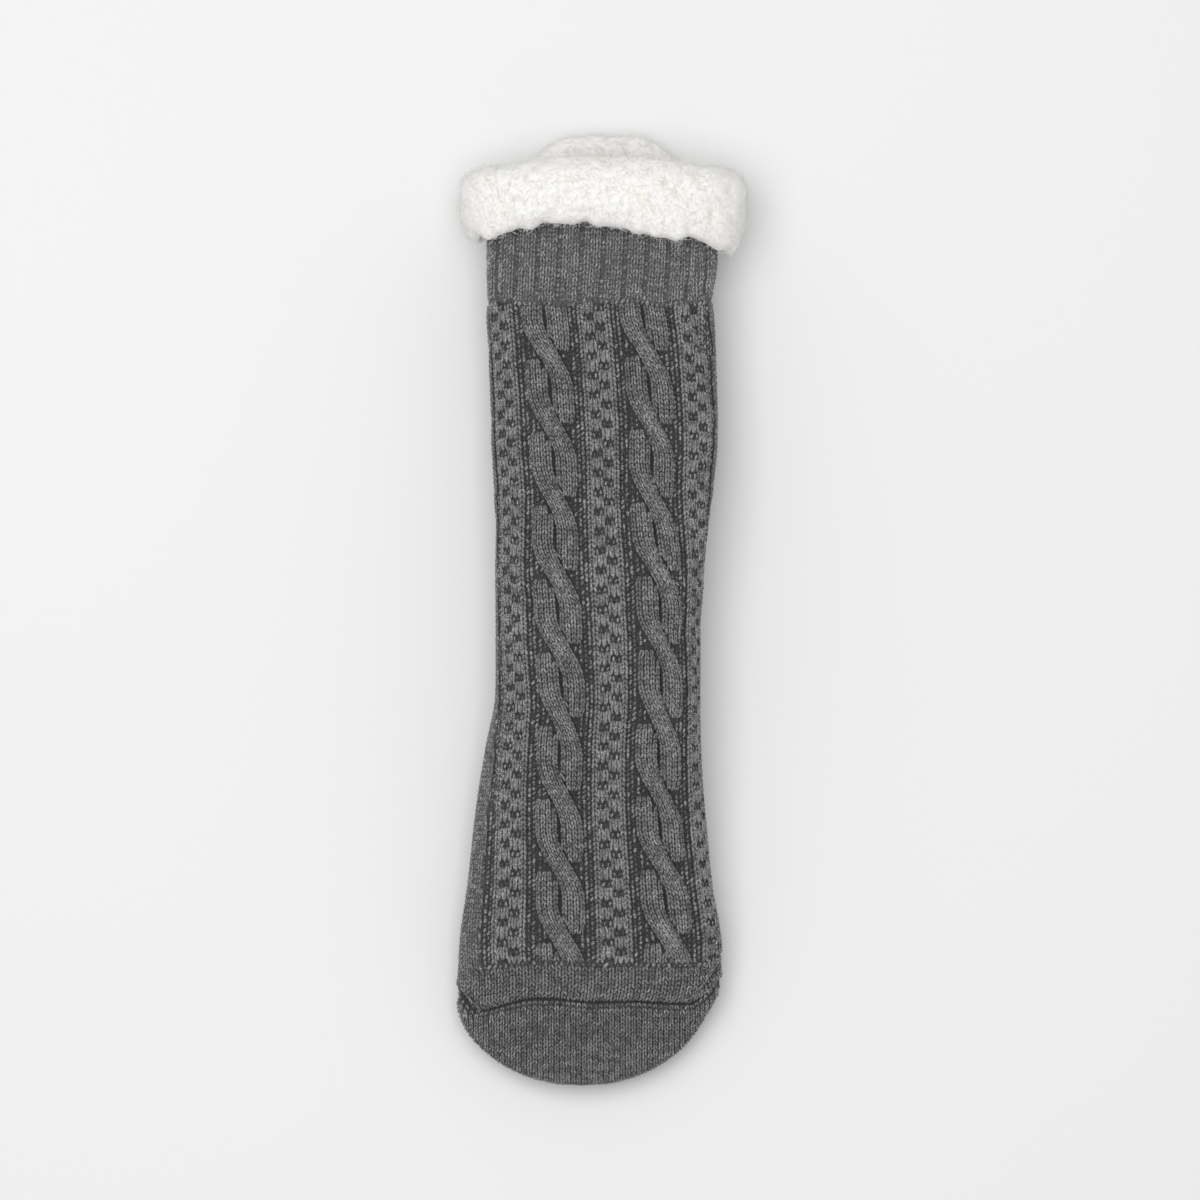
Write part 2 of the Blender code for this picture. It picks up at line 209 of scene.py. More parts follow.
def sectionValue(column, distance):
    # a column of the table, read smoothly between its rows and level where it turns back
    along = np.clip(np.asarray(distance, float) / sockForm["knitLength"], 0, 1)
    rows, values = sockSections[:, 0], sockSections[:, sectionColumns[column]]
    secants = np.diff(values) / np.diff(rows)
    before = np.concatenate((secants[:1], secants))
    after = np.concatenate((secants, secants[-1:]))
    total = np.where(before * after > 0, before + after, 1)
    slopes = np.where(before * after > 0, 2 * before * after / total, 0)
    i = np.clip(np.searchsorted(rows, along, side="left") - 1, 0, len(rows) - 2)
    span = rows[i + 1] - rows[i]
    t = (along - rows[i]) / span
    return (
        values[i] * (1 + 2 * t) * (1 - t) ** 2
        + values[i + 1] * t * t * (3 - 2 * t)
        + slopes[i] * span * t * (1 - t) ** 2
        - slopes[i + 1] * span * t * t * (1 - t)
    )


def rounding(distance, length):
    return np.sqrt(1 - (1 - np.clip(distance / length, 0, 1)) ** 2)


def sectionOutline(distance, inset):
    # middle, half width, half height and squareness of the sock at a distance from the tip
    plan = rounding(distance - inset, sockForm["toeRound"] - inset)
    nose = rounding(distance - inset, sockForm["noseRound"] - inset)
    top = sectionValue("top", distance) * sockForm["ankleHeight"]
    bottom = sectionValue("bottom", distance) * sockForm["ankleHeight"]
    halfWidth = (sectionValue("width", distance) * sockForm["footWidth"] / 2 - inset) * plan
    halfHeight = ((top - bottom) / 2 - inset) * nose
    middle = sectionValue("shift", distance) * sockForm["footWidth"]
    return middle, (top + bottom) / 2, halfWidth, halfHeight, sectionValue("square", distance)


def signedPower(value, power):
    return np.sign(value) * np.abs(value) ** power


def makeShell(inset):
    # a table of the sock's face, sunk by inset: rows from the toe tip to the rim, and even
    # steps round the girth from the top's middle towards +X, each a point and a normal
    steps = shellGrid["steps"]
    tip = inset + (sockForm["toeRound"] - inset) * np.linspace(0, 1, shellGrid["tipRows"]) ** 2
    leg = np.linspace(sockForm["toeRound"], sockForm["knitLength"], shellGrid["legRows"])[1:]
    distances = np.concatenate((tip, leg))
    midX, midZ, halfWidth, halfHeight, square = (
        value[:, None] for value in sectionOutline(distances, inset)
    )
    angle = np.linspace(0, 2 * math.pi, 2 * steps + 1)[None, :]
    x = midX + halfWidth * signedPower(np.sin(angle), 2 / square)
    z = np.maximum(midZ + halfHeight * signedPower(np.cos(angle), 2 / square), inset)
    reach = np.cumsum(np.hypot(np.diff(x, axis=1), np.diff(z, axis=1)), axis=1)
    lengths = np.concatenate((np.zeros((len(x), 1)), reach), axis=1)
    shares = np.linspace(0, 1, steps + 1)
    points = np.zeros((len(distances), steps + 1, 3))
    for i in range(len(distances)):
        target = shares * lengths[i, -1]
        points[i, :, 0] = np.interp(target, lengths[i], x[i])
        points[i, :, 2] = np.interp(target, lengths[i], z[i])
    points[:, :, 1] = distances[:, None] - sockForm["heel"]
    around = np.roll(points[:, :-1], -1, axis=1) - np.roll(points[:, :-1], 1, axis=1)
    around = np.concatenate((around, around[:, :1]), axis=1)
    normals = unit(np.cross(around, np.gradient(points, axis=0)))
    normals[0] = (0, -1, 0)
    return {
        "distance": distances,
        "girth": lengths[:, -1],
        "field": np.concatenate((points, normals), axis=2),
    }


def shellAt(shell, distance, share):
    row = np.interp(distance, shell["distance"], np.arange(len(shell["distance"])))
    column = (np.asarray(share) % 1.0) * shellGrid["steps"]
    i = np.minimum(row.astype(int), len(shell["distance"]) - 2)
    j = np.minimum(column.astype(int), shellGrid["steps"] - 1)
    t, s = (row - i)[..., None], (column - j)[..., None]
    field = shell["field"]
    near = field[i, j] * (1 - s) + field[i, j + 1] * s
    far = field[i + 1, j] * (1 - s) + field[i + 1, j + 1] * s
    found = near * (1 - t) + far * t
    return found[..., :3], unit(found[..., 3:])


def girthShare(repeat, distance):
    girth = np.interp(distance, outerShell["distance"], outerShell["girth"])
    twist = sectionValue("twist", distance) * sockForm["footWidth"] / girth
    turn = 2 * math.pi * repeat / knitPattern["repeats"]
    stretch = knitPattern["frontStretch"] * np.sin(turn) / (2 * math.pi)
    return repeat / knitPattern["repeats"] + stretch + twist


def fromTop(share):
    return np.abs((share + 0.5) % 1.0 - 0.5)


def faceAt(shell, repeat, distance):
    # point and normal on a shell, for a column of the pattern
    distance = np.broadcast_to(distance, np.shape(repeat))
    return shellAt(shell, distance, girthShare(repeat, distance))


def aroundSock(columns):
    return np.arange(columns) * knitPattern["repeats"] / columns


def seamDistance(repeat):
    # toe tip to the toe seam, along a column of the pattern
    line, ease = toeSeam, toeSeam["lineEase"]
    x = faceAt(outerShell, repeat, line["fromToe"])[0][..., 0]
    onTop = sum(np.interp(x + shift, line["lineX"], line["lineD"]) for shift in (0, -ease, ease)) / 3
    share = girthShare(repeat, line["fromToe"])
    return mix(onTop, line["under"], soft(*line["cornerShares"], fromTop(share)))


def rowDistance(repeat, row):
    # rows follow the seam and become straight behind it
    fade = np.clip(1 - (row - toeSeam["fromToe"]) / toeSeam["earFade"], 0, 1)
    turn = 2 * math.pi * repeat / knitPattern["repeats"]
    wave = np.sin(5 * turn + 0.7) + 0.7 * np.sin(13 * turn + 2.0)
    wave = knitPattern["courseWave"] * wave * soft(0.05, 0.15, row) * (1 - soft(0.38, 0.395, row))
    return row + (seamDistance(repeat) - toeSeam["fromToe"]) * fade + wave


def foldField(point, folds):
    # soft troughs and ridges laid on the sock as seen from above
    x, y = point[..., 0], point[..., 1]
    height = np.zeros(x.shape)
    for x0, y0, x1, y1, halfWidth, amount in folds:
        run = np.array((x1 - x0, y1 - y0))
        along = ((x - x0) * run[0] + (y - y0) * run[1]) / (run @ run)
        held = np.clip(along, 0, 1)
        gap = np.hypot(x - x0 - held * run[0], y - y0 - held * run[1])
        ends = soft(0, 0.3, held) * soft(0, 0.3, 1 - held)
        height += amount * ends * np.exp(-((gap / halfWidth) ** 2))
    return height


def facingUp(normal):
    # the folds fade where the fabric turns down to the sides
    return soft(0.05, 0.5, normal[..., 2])


def foldHeight(point, normal):
    # the folds, and a slow unevenness of the slack fabric
    x, y = point[..., 0], point[..., 1]
    height = slackWaves["height"] * (np.sin(95 * x + 40 * y) + np.sin(70 * y - 55 * x + 1.0))
    height += slackWaves["rippleHeight"] * np.sin(180 * x + 2.0) * np.sin(120 * y + 0.7)
    return (height + foldField(point, sockFolds + toeFolds)) * facingUp(normal)


def cablePhase(row):
    p = knitPattern
    return ((row - p["panelStart"] - p["firstCrossing"]) / p["cablePeriod"] + 0.5) % 1.0 - 0.5


def strandMiddle(phase, strand):
    # the front strand, 0, passes over from the toe's +X side to the cuff's -X side. The
    # back strand keeps to its own side and ends, rounded, beside the crossing
    p = knitPattern
    if strand == 0:
        turn = np.clip(phase / p["crossingShare"], -1, 1)
        middle = -p["strandOffset"] * np.sin(turn * math.pi / 2)
        halfWidth = p["strandHalfWidth"] * mix(p["crossingWidth"], 1, np.abs(turn))
        return middle, halfWidth, np.ones(np.shape(phase))
    away = np.where(phase < 0, -phase - p["backStart"], phase) / p["backGrow"]
    away = np.clip(np.where(phase < 0, away, p["backSlow"] * away), 0, 1)
    grown = np.sqrt(1 - (1 - away) ** 2)
    middle = np.sign(phase) * p["strandOffset"]
    return middle, p["strandHalfWidth"] * mix(p["backTip"], 1, grown), grown


def strandHeight(across, phase, strand):
    middle, halfWidth, strength = strandMiddle(phase, strand)
    reach = np.clip((across - middle) / halfWidth, -1, 1)
    height = strength * np.sqrt(1 - reach * reach)
    if strand == 1:
        # a groove keeps it clear of the front strand
        front, frontHalf = strandMiddle(phase, 0)[:2]
        turn = np.clip(np.abs(phase) / knitPattern["crossingShare"], 0, 1)
        groove = knitPattern["groove"] * (1 - 0.9 * turn)
        height = height * soft(0.0, groove, np.abs(across - front) - frontHalf)
    return height


def reliefShare(repeat, row):
    # the relief is stretched lower round the sides and rises slowly behind the plain sole
    p = knitPattern
    side = soft(*p["sideShares"], fromTop(girthShare(repeat, row)))
    fromFront = np.abs((repeat + 3) % 6 - 3)
    beyond = soft(p["soleRepeats"] - 0.1, p["soleRepeats"] + 0.1, fromFront)
    start = sockForm["heelEnd"] - p["panelFade"]
    late = beyond * (1 - soft(start, start + p["heelFade"], row))
    ends = soft(p["panelStart"], p["panelStart"] + p["endFade"], row)
    ends = ends * (1 - soft(p["panelEnd"] - p["endFade"], p["panelEnd"], row))
    return (1 - p["sideCalm"] * side) * (1 - late) * mix(p["endRelief"], 1, ends)


def panelShare(repeat, row):
    # 1 where the cables and moss are worked, 0 on the plain rows and the plain sole
    p = knitPattern
    panel = soft(p["panelStart"], p["panelStart"] + p["panelFade"], row)
    panel = panel * (1 - soft(p["panelEnd"] - p["panelFade"], p["panelEnd"], row))
    fromFront = np.abs((repeat + 3) % 6 - 3)
    onSole = soft(p["soleRepeats"] - p["edgeShare"], p["soleRepeats"] + p["edgeShare"], fromFront)
    onSole = onSole * (1 - soft(sockForm["heelEnd"] - p["panelFade"], sockForm["heelEnd"], row))
    return panel * (1 - onSole)


def ribRelief(repeat, row):
    # soft ribs, each three raised wales and a sunken one, on the band over the pattern
    p = knitPattern
    band = soft(p["panelEnd"], p["panelEnd"] + p["panelFade"], row)
    turn = 2 * math.pi * (repeat - p["ribStart"]) * p["ribsPerRepeat"]
    trough = (0.5 + 0.5 * np.cos(turn)) ** p["ribSharpness"]
    return band * (p["ribHeight"] - p["ribDepth"] * trough)


def mossRelief(repeat):
    p = knitPattern
    fromMoss = 0.5 - np.abs(repeat % 1.0 - 0.5)
    edge = soft(p["mossHalfWidth"] - p["edgeShare"], p["mossHalfWidth"] + p["edgeShare"], fromMoss)
    return p["mossHeight"] * (1 - edge)


def flatRelief(repeat, row):
    # the moss columns and ribs alone, under the stitches that lie beside the cables
    return panelShare(repeat, row) * mossRelief(repeat) + ribRelief(repeat, row)


def groundRelief(repeat, row):
    # the ground under the stitches: cables, moss columns and ribs
    phase = cablePhase(row)
    across = repeat % 1.0 - 0.5
    cable = np.maximum(strandHeight(across, phase, 0), strandHeight(across, phase, 1))
    moss = mossRelief(repeat)
    sunken = (1 - np.clip(3 * cable, 0, 1)) * (1 - moss / knitPattern["mossHeight"])
    pattern = np.maximum(knitPattern["cableHeight"] * cable, moss) - knitPattern["sink"] * sunken
    return panelShare(repeat, row) * reliefShare(repeat, row) * pattern + ribRelief(repeat, row)


def seamRelief(row):
    # the instep's edge puffs a little, then rolls down into the toe seam
    toEdge = np.clip(1 - (row - toeSeam["fromToe"]) / toeSeam["edgeRoll"], 0, 1)
    puff = np.exp(-(((row - toeSeam["fromToe"]) / toeSeam["edgeRoll"] - 1.0) ** 2) * 2)
    return toeSeam["edgePuff"] * puff - toeSeam["edgeDip"] * toEdge ** 2


def knitPoint(repeat, row, raised):
    point, normal = faceAt(outerShell, repeat, rowDistance(repeat, row))
    lift = raised + foldHeight(point, normal) + seamRelief(row)
    point = point + normal * lift[..., None]
    point[..., 2] = np.maximum(point[..., 2], sockForm["restHeight"])
    return point


def newMesh(name, points, faces):
    mesh = bpy.data.meshes.new(name)
    mesh.from_pydata([tuple(p) for p in points], [], faces)
    mesh.validate()
    mesh.shade_smooth()
    return mesh


def newPiece(name, mesh, material):
    mesh.materials.clear()
    mesh.materials.append(material)
    piece = bpy.data.objects.new(name, mesh)
    bpy.context.scene.collection.objects.link(piece)
    return piece


def ringFaces(rows, columns, closed):
    # faces between rows of points, outward where the rows run from the toe to the cuff
    faces = []
    for i in range(rows if closed else rows - 1):
        for j in range(columns):
            a, b = i * columns + j, i * columns + (j + 1) % columns
            c = ((i + 1) % rows) * columns
            faces.append((a, b, c + (j + 1) % columns, c + j))
    return faces


def setAttribute(mesh, name, kind, values):
    attribute = mesh.attributes.new(name, kind, "POINT")
    slotName = "vector" if kind == "FLOAT_VECTOR" else "value"
    attribute.data.foreach_set(slotName, np.ascontiguousarray(values, np.float32).ravel())


def finishPiece(piece, slotName, *nodes):
    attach(piece, "root")
    if nodes:
        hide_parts(*nodes)
    triangles = sum(len(face.vertices) - 2 for face in piece.data.polygons)
    print(f"{piece.name}: {triangles} triangles")


def setInputs(tree, node, inputs):
    # an input takes another node's socket or a constant
    for key, value in inputs.items():
        if isinstance(value, bpy.types.NodeSocket):
            tree.links.new(value, node.inputs[key])
        else:
            node.inputs[key].default_value = value


def addNode(tree, kind, inputs, output=None, **settings):
    # a new node, or one of its outputs where that is named
    node = tree.nodes.new(kind)
    for key, value in settings.items():
        setattr(node, key, value)
    setInputs(tree, node, inputs)
    return node if output is None else node.outputs[output]


def newTree(name, kind, takes, gives):
    # a node group with its sockets, and what its input node gives
    tree = bpy.data.node_groups.new(name, kind + "NodeTree")
    for way, sockets in (("INPUT", takes), ("OUTPUT", gives)):
        for socketName, socketKind in sockets.items():
            tree.interface.new_socket(socketName, in_out=way, socket_type="NodeSocket" + socketKind)
    return tree, tree.nodes.new("NodeGroupInput").outputs


def calculate(tree, operation, *values, **settings):
    inputs = dict(enumerate(values))
    return addNode(tree, "ShaderNodeMath", inputs, "Value", operation=operation, **settings)


def scaled(tree, vector, size):
    return addNode(tree, "ShaderNodeVectorMath", {0: vector, "Scale": size}, "Vector", operation="SCALE")


def noise(tree, scale, detail, roughness=0.5, distortion=0.0):
    return addNode(tree, "ShaderNodeTexNoise", {
        "Vector": addNode(tree, "ShaderNodeTexCoord", {}, "Object"),
        "Scale": scale, "Detail": detail, "Roughness": roughness, "Distortion": distortion,
    }, "Fac")


def remap(tree, value, toMin, toMax, fromMin=0.0, fromMax=1.0):
    return addNode(tree, "ShaderNodeMapRange", {
        "Value": value, "From Min": fromMin, "From Max": fromMax, "To Min": toMin, "To Max": toMax,
    }, "Result")


surfaceSockets = {"Color": "Color", "Roughness": "Float", "Height": "Float"}

yarnLook = {
    "lowFibre": 0.36,  # the noise's values at the darkest and the lightest fibres
    "highFibre": 0.64,
    "darkest": 0.15,  # the least share of the yarn's colour
    "strandScale": 2600.0,
    "patchScale": 60.0,
    "patchDark": 0.86,
    "patchLight": 1.14,
    "roughLow": 0.78,
}


def yarnGroup():
    # heather yarn: a tone for each stitch, light and dark fibres, and fuzz for a bump
    look = yarnLook
    takes = {"Yarn Colour": "Color", "Fleck": "Float", "Fibre Scale": "Float"}
    tree, given = newTree("heatherYarn", "Shader", takes, surfaceSockets)
    tone = addNode(tree, "ShaderNodeAttribute", {}, "Fac", attribute_name="tone")
    fibres = noise(tree, given["Fibre Scale"], 4.0, 0.7)
    strands = noise(tree, look["strandScale"], 2.0)
    patches = noise(tree, look["patchScale"], 2.0)
    spread = remap(tree, fibres, -1.0, 1.0, look["lowFibre"], look["highFibre"])
    fleck = calculate(tree, "MULTIPLY_ADD", spread, given["Fleck"], 1.0)
    toned = calculate(tree, "MULTIPLY", tone, calculate(tree, "MAXIMUM", fleck, look["darkest"]))
    slow = remap(tree, patches, look["patchDark"], look["patchLight"])
    addNode(tree, "NodeGroupOutput", {
        "Color": scaled(tree, given["Yarn Colour"], calculate(tree, "MULTIPLY", toned, slow)),
        "Roughness": remap(tree, strands, look["roughLow"], 1.0),
        "Height": calculate(tree, "ADD", fibres, strands),
    })
    return tree


def fleeceGroup():
    # sherpa pile: white, warmer and a little darker in its hollows and creases, partly the pile's own tint
    # and partly painted shade, with fine curly fibres for a bump
    takes = {"Tip Colour": "Color", "Hollow Tint And Shade": "Color", "Fibre Scale": "Float"}
    tree, given = newTree("sherpaPile", "Shader", takes, surfaceSockets)
    pile = addNode(tree, "ShaderNodeAttribute", {}, "Fac", attribute_name="pileHeight")
    curls = noise(tree, given["Fibre Scale"], 5.0, 0.65, 1.5)
    depth = calculate(tree, "MULTIPLY_ADD", noise(tree, 160.0, 2.0), 0.5, pile, use_clamp=True)
    colours = {0: depth, 6: given["Hollow Tint And Shade"], 7: given["Tip Colour"]}
    addNode(tree, "NodeGroupOutput", {
        "Color": addNode(tree, "ShaderNodeMix", colours, 2, data_type="RGBA"),
        "Roughness": remap(tree, curls, 0.85, 1.0),
        "Height": curls,
    })
    return tree


def newMaterial(name):
    material = bpy.data.materials.new(name)
    material.use_nodes = True
    return material, material.node_tree, material.node_tree.nodes["Principled BSDF"]


def groupMaterial(name, group, values, bump, bumpReach, sheen):
    material, tree, shader = newMaterial(name)
    finish = addNode(tree, "ShaderNodeGroup", values, node_tree=group).outputs
    relief = {"Strength": bump, "Distance": bumpReach, "Height": finish["Height"]}
    setInputs(tree, shader, {
        "Sheen Weight": sheen,
        "Sheen Roughness": 0.6,
        "Specular IOR Level": 0.25,
        "Base Color": finish["Color"],
        "Roughness": finish["Roughness"],
        "Normal": addNode(tree, "ShaderNodeBump", relief, "Normal"),
    })
    return material


# colour, fleck, fibre scale, bump, the bump's reach and sheen of each yarn
yarnColours = {
    "greyYarn": ((0.200, 0.198, 0.199, 1), 1.5, 2300.0, 0.35, 0.0004, 0.15),
    "toeYarn": ((0.194, 0.1935, 0.194, 1), 2.0, 2300.0, 0.35, 0.0004, 0.15),
    # the dark grounds under the stitches: black plating yarn, and painted shade in the gaps between plain
    # stitches
    "platingYarnAndGapShade": ((0.036, 0.0358, 0.0361, 1), 0.8, 1300.0, 0.5, 0.0005, 0.10),
    "toeGroundYarnAndGapShade": ((0.045, 0.0445, 0.045, 1), 0.8, 1300.0, 0.5, 0.0005, 0.10),
}
fleeceColours = {
    "Tip Colour": (0.884, 0.883, 0.880, 1),
    # the hollow colour, warmer and darker than the tips, is partly the pile's own tint and partly painted
    # shade
    "Hollow Tint And Shade": (0.875, 0.85, 0.81, 1),
    "Fibre Scale": 700.0,
}


def makeMaterials():
    yarn, pile = yarnGroup(), fleeceGroup()
    found = {}
    for name, (colour, fleck, fibreScale, *surface) in yarnColours.items():
        values = {"Yarn Colour": colour, "Fleck": fleck, "Fibre Scale": fibreScale}
        found[name] = groupMaterial(name, yarn, values, *surface)
    found["sherpa"] = groupMaterial("sherpa", pile, fleeceColours, 0.25, 0.0008, 0.3)
    found["sherpaLocks"] = groupMaterial("sherpaLocks", pile, fleeceColours, 0.2, 0.0004, 0.3)
    return found


def closedSpindle(path, across, high):
    # a strand's short length: two three-sided rings and two tips, closed
    path = np.array(path)
    points = [path[0]]
    for i in (1, 2):
        run = unit(path[i + 1] - path[i - 1])
        side = unit(np.cross(run, (0, 0, 1)))
        points += [path[i] - side * across, path[i] + np.array((0, 0, high)), path[i] + side * across]
    points.append(path[3])
    faces = []
    for j in range(3):
        k = (j + 1) % 3
        faces += [(0, 1 + k, 1 + j), (1 + j, 1 + k, 4 + k, 4 + j), (4 + j, 4 + k, 7)]
    return points, faces


def shapeObject(name, parts):
    points, faces = [], []
    for partPoints, partFaces in parts:
        start = len(points)
        points += list(partPoints)
        faces += [tuple(start + i for i in face) for face in partFaces]
    mesh = newMesh(name, points, faces)
    builder = bmesh.new()
    builder.from_mesh(mesh)
    bmesh.ops.recalc_face_normals(builder, faces=builder.faces)
    builder.to_mesh(mesh)
    builder.free()
    return bpy.data.objects.new(name, mesh)


# Half width and height of a stitch's strands, in wales and in a yarn's thickness
stitchForms = {"knit": (0.21, 0.85), "slim": (0.165, 0.85), "speck": (0.20, 0.70)}


def stitchShapes():
    # a knit stitch has two legs that meet towards the cuff, and a speck is the bit of yarn
    # that shows in the sunken wales. One unit is a wale across, a course along and a yarn's
    # thickness high
    leg = [(0.07, 0.80, -0.35), (0.17, 0.36, 0.0), (0.27, -0.22, 0.0), (0.36, -0.66, -0.35)]
    mirrored = [(-x, y, z) for x, y, z in leg]
    upright = [(0.03, 0.46, -0.45), (0.04, 0.20, 0.0), (-0.04, -0.20, 0.0), (-0.03, -0.46, -0.45)]
    paths = {"knit": (leg, mirrored), "slim": (leg, mirrored), "speck": (upright,)}
    return {
        kind: shapeObject(kind + "Stitch", [closedSpindle(path, *stitchForms[kind]) for path in paths[kind]])
        for kind in stitchForms
    }


def stored(tree, name, kind):
    return addNode(tree, "GeometryNodeInputNamedAttribute", {"Name": name}, "Attribute", data_type=kind)


def randomValue(tree, kind, low, high, seed):
    # the node has its vector sockets first and its number sockets after them
    first, output = (0, 0) if kind == "FLOAT_VECTOR" else (2, 1)
    inputs = {first: low, first + 1: high, "Seed": seed}
    return addNode(tree, "FunctionNodeRandomValue", inputs, output, data_type=kind)


def turnedBy(tree, rotation, angles):
    # a rotation, turned further about its own axes
    lean = addNode(tree, "FunctionNodeEulerToRotation", {0: angles}, 0)
    return addNode(tree, "FunctionNodeRotateRotation", {0: rotation, 1: lean}, 0, rotation_space="LOCAL")


def laidOut(tree, points, shape, rotation, size):
    found = addNode(tree, "GeometryNodeObjectInfo", {"Object": shape}, "Geometry", transform_space="ORIGINAL")
    inputs = {"Points": points, "Instance": found, "Rotation": rotation, "Scale": size}
    return addNode(tree, "GeometryNodeInstanceOnPoints", inputs, "Instances")


def finishTree(tree, instances, material):
    real = addNode(tree, "GeometryNodeRealizeInstances", {"Geometry": instances}, "Geometry")
    inputs = {"Geometry": real, "Material": material}
    painted = addNode(tree, "GeometryNodeSetMaterial", inputs, "Geometry")
    addNode(tree, "NodeGroupOutput", {"Geometry": painted})


def stitchTree():
    # lays a stitch on each point of a carrier, turned into its wale and a little uneven
    tree, given = newTree("layStitches", "Geometry", {
        "Geometry": "Geometry", "Stitch": "Object", "Material": "Material", "Tilt": "Float",
        "Size Scatter": "Float", "Tone Scatter": "Float", "Seed": "Int",
    }, {"Geometry": "Geometry"})

    def uneven(name):
        # about 1, more or less by the scatter of this name
        drawn = randomValue(tree, "FLOAT", -1.0, 1.0, given["Seed"])
        return calculate(tree, "MULTIPLY_ADD", drawn, given[name], 1.0)

    axes = {0: stored(tree, "facing", "FLOAT_VECTOR"), 1: stored(tree, "alongWale", "FLOAT_VECTOR")}
    turn = addNode(tree, "FunctionNodeAxesToRotation", axes, 0, primary_axis="Z", secondary_axis="Y")
    tilt = randomValue(tree, "FLOAT_VECTOR", (-1, -1, -1), (1, 1, 1), given["Seed"])
    turn = turnedBy(tree, turn, scaled(tree, tilt, given["Tilt"]))
    size = scaled(tree, stored(tree, "stitchSize", "FLOAT_VECTOR"), uneven("Size Scatter"))
    tone = calculate(tree, "MULTIPLY", stored(tree, "tone", "FLOAT"), uneven("Tone Scatter"))
    toned = addNode(tree, "GeometryNodeStoreNamedAttribute", {
        "Geometry": laidOut(tree, given["Geometry"], given["Stitch"], turn, size),
        "Name": "tone", "Value": tone,
    }, "Geometry", data_type="FLOAT", domain="INSTANCE")
    finishTree(tree, toned, given["Material"])
    return tree


def treeResult(carrier, tree, values, name, material):
    # runs a tree on a carrier mesh and keeps the result as a plain piece
    source = bpy.data.objects.new(name + "Carrier", carrier)
    bpy.context.scene.collection.objects.link(source)
    modifier = source.modifiers.new("nodes", "NODES")
    modifier.node_group = tree
    for socket in tree.interface.items_tree:
        if socket.in_out == "INPUT" and socket.name in values:
            modifier[socket.identifier] = values[socket.name]
    graph = bpy.context.evaluated_depsgraph_get()
    mesh = bpy.data.meshes.new_from_object(source.evaluated_get(graph), depsgraph=graph)
    bpy.data.objects.remove(source)
    mesh.name = name
    points = np.zeros(len(mesh.vertices) * 3, np.float32)
    mesh.vertices.foreach_get("co", points)
    points[2::3] = np.maximum(points[2::3], 0.0)  # pressed flat by the floor
    mesh.vertices.foreach_set("co", points)
    return newPiece(name, mesh, material)


# How far the stitches of a shape lean and differ in size and tone
stitchScatter = {
    "knit": {"Tilt": 0.16, "Size Scatter": 0.12, "Tone Scatter": 0.24},
    "slim": {"Tilt": 0.22, "Size Scatter": 0.15, "Tone Scatter": 0.24},
    "speck": {"Tilt": 0.50, "Size Scatter": 0.38, "Tone Scatter": 0.50},
}


def stitchPiece(name, stitches, kind, shapes, tree, material, seed, slotName):
    carrier = bpy.data.meshes.new(name)
    carrier.from_pydata([tuple(p) for p in stitches["place"]], [], [])
    for key in ("alongWale", "facing", "stitchSize"):
        setAttribute(carrier, key, "FLOAT_VECTOR", stitches[key])
    setAttribute(carrier, "tone", "FLOAT", stitches["tone"])
    values = {"Stitch": shapes[kind], "Material": material, "Seed": seed, **stitchScatter[kind]}
    finishPiece(treeResult(carrier, tree, values, name, material), slotName)


def joinStitches(lots):
    return {key: np.concatenate([lot[key] for lot in lots]) for key in lots[0]}


def chooseStitches(stitches, wanted):
    return {key: value[wanted] for key, value in stitches.items()}


yarnSizes = {
    "thick": 0.00072,  # height of a knit stitch over the ground
    "speckThick": 0.00050,
}

# Tone of each kind of stitch, and its width and length as shares of a wale and a course
stitchLooks = {
    "plain": (0.90, 1.08, 1.0),
    "moss": (1.0, 1.18, 1.0),
    "betweenDots": (1.0, 1.18, 1.55),  # it reaches into the dots over and under it
    "dot": (0.85, 0.90, 1.10),
    "gutter": (0.86, 1.05, 1.2),
    "uncovered": (0.86, 1.05, 1.2),  # the ground beside a cable's strands
    "edge": (0.85, 1.2, 1.25),  # the panel's first and last course
    "band": (0.96, 1.08, 1.0),
    "rib": (1.17, 1.0, 1.0),
    # the specks in the ribs' sunken wale are painted darker, as shade in the trough
    "ribSpeck": (0.86, 1.4, 1.0),
}


def layStitches(placeOf, row, pitch, thick, tone):
    # measures the fabric about each stitch, so that the stitch fits its wale and course.
    # placeOf gives the repeat and the height at a row, a share of a wale to the side
    small, aside = 0.0004, 0.3

    def at(rowShift, side):
        repeat, raised = placeOf(row + rowShift, side)
        return knitPoint(repeat, row + rowShift, raised)

    along = at(small, 0.0) - at(-small, 0.0)
    across = at(0.0, aside) - at(0.0, -aside)
    waleWidth = np.linalg.norm(across, axis=1) / (2 * aside)
    courseLength = np.linalg.norm(along, axis=1) / (2 * small) * pitch
    return {
        "place": at(0.0, 0.0),
        "alongWale": unit(along),
        "facing": unit(np.cross(across, along)),
        "stitchSize": np.stack((waleWidth, courseLength, np.full(len(row), thick)), axis=1),
        "tone": np.full(len(row), tone),
        "row": row,
    }


def grid(first, second):
    a, b = np.meshgrid(first, second, indexing="ij")
    return a.ravel(), b.ravel()


def waleStitches(place, row, pitch, kind, relief=flatRelief, thick=yarnSizes["thick"]):
    # stitches of a kind at places of the pattern, on the height that the relief gives
    def placeOf(rowHere, side):
        at = place + side / knitPattern["walesPerRepeat"]
        return at, relief(at, rowHere)

    tone, wide, long = stitchLooks[kind]
    lot = layStitches(placeOf, row, pitch, thick, tone)
    lot["stitchSize"] *= (wide, long, 1.0)
    return lot


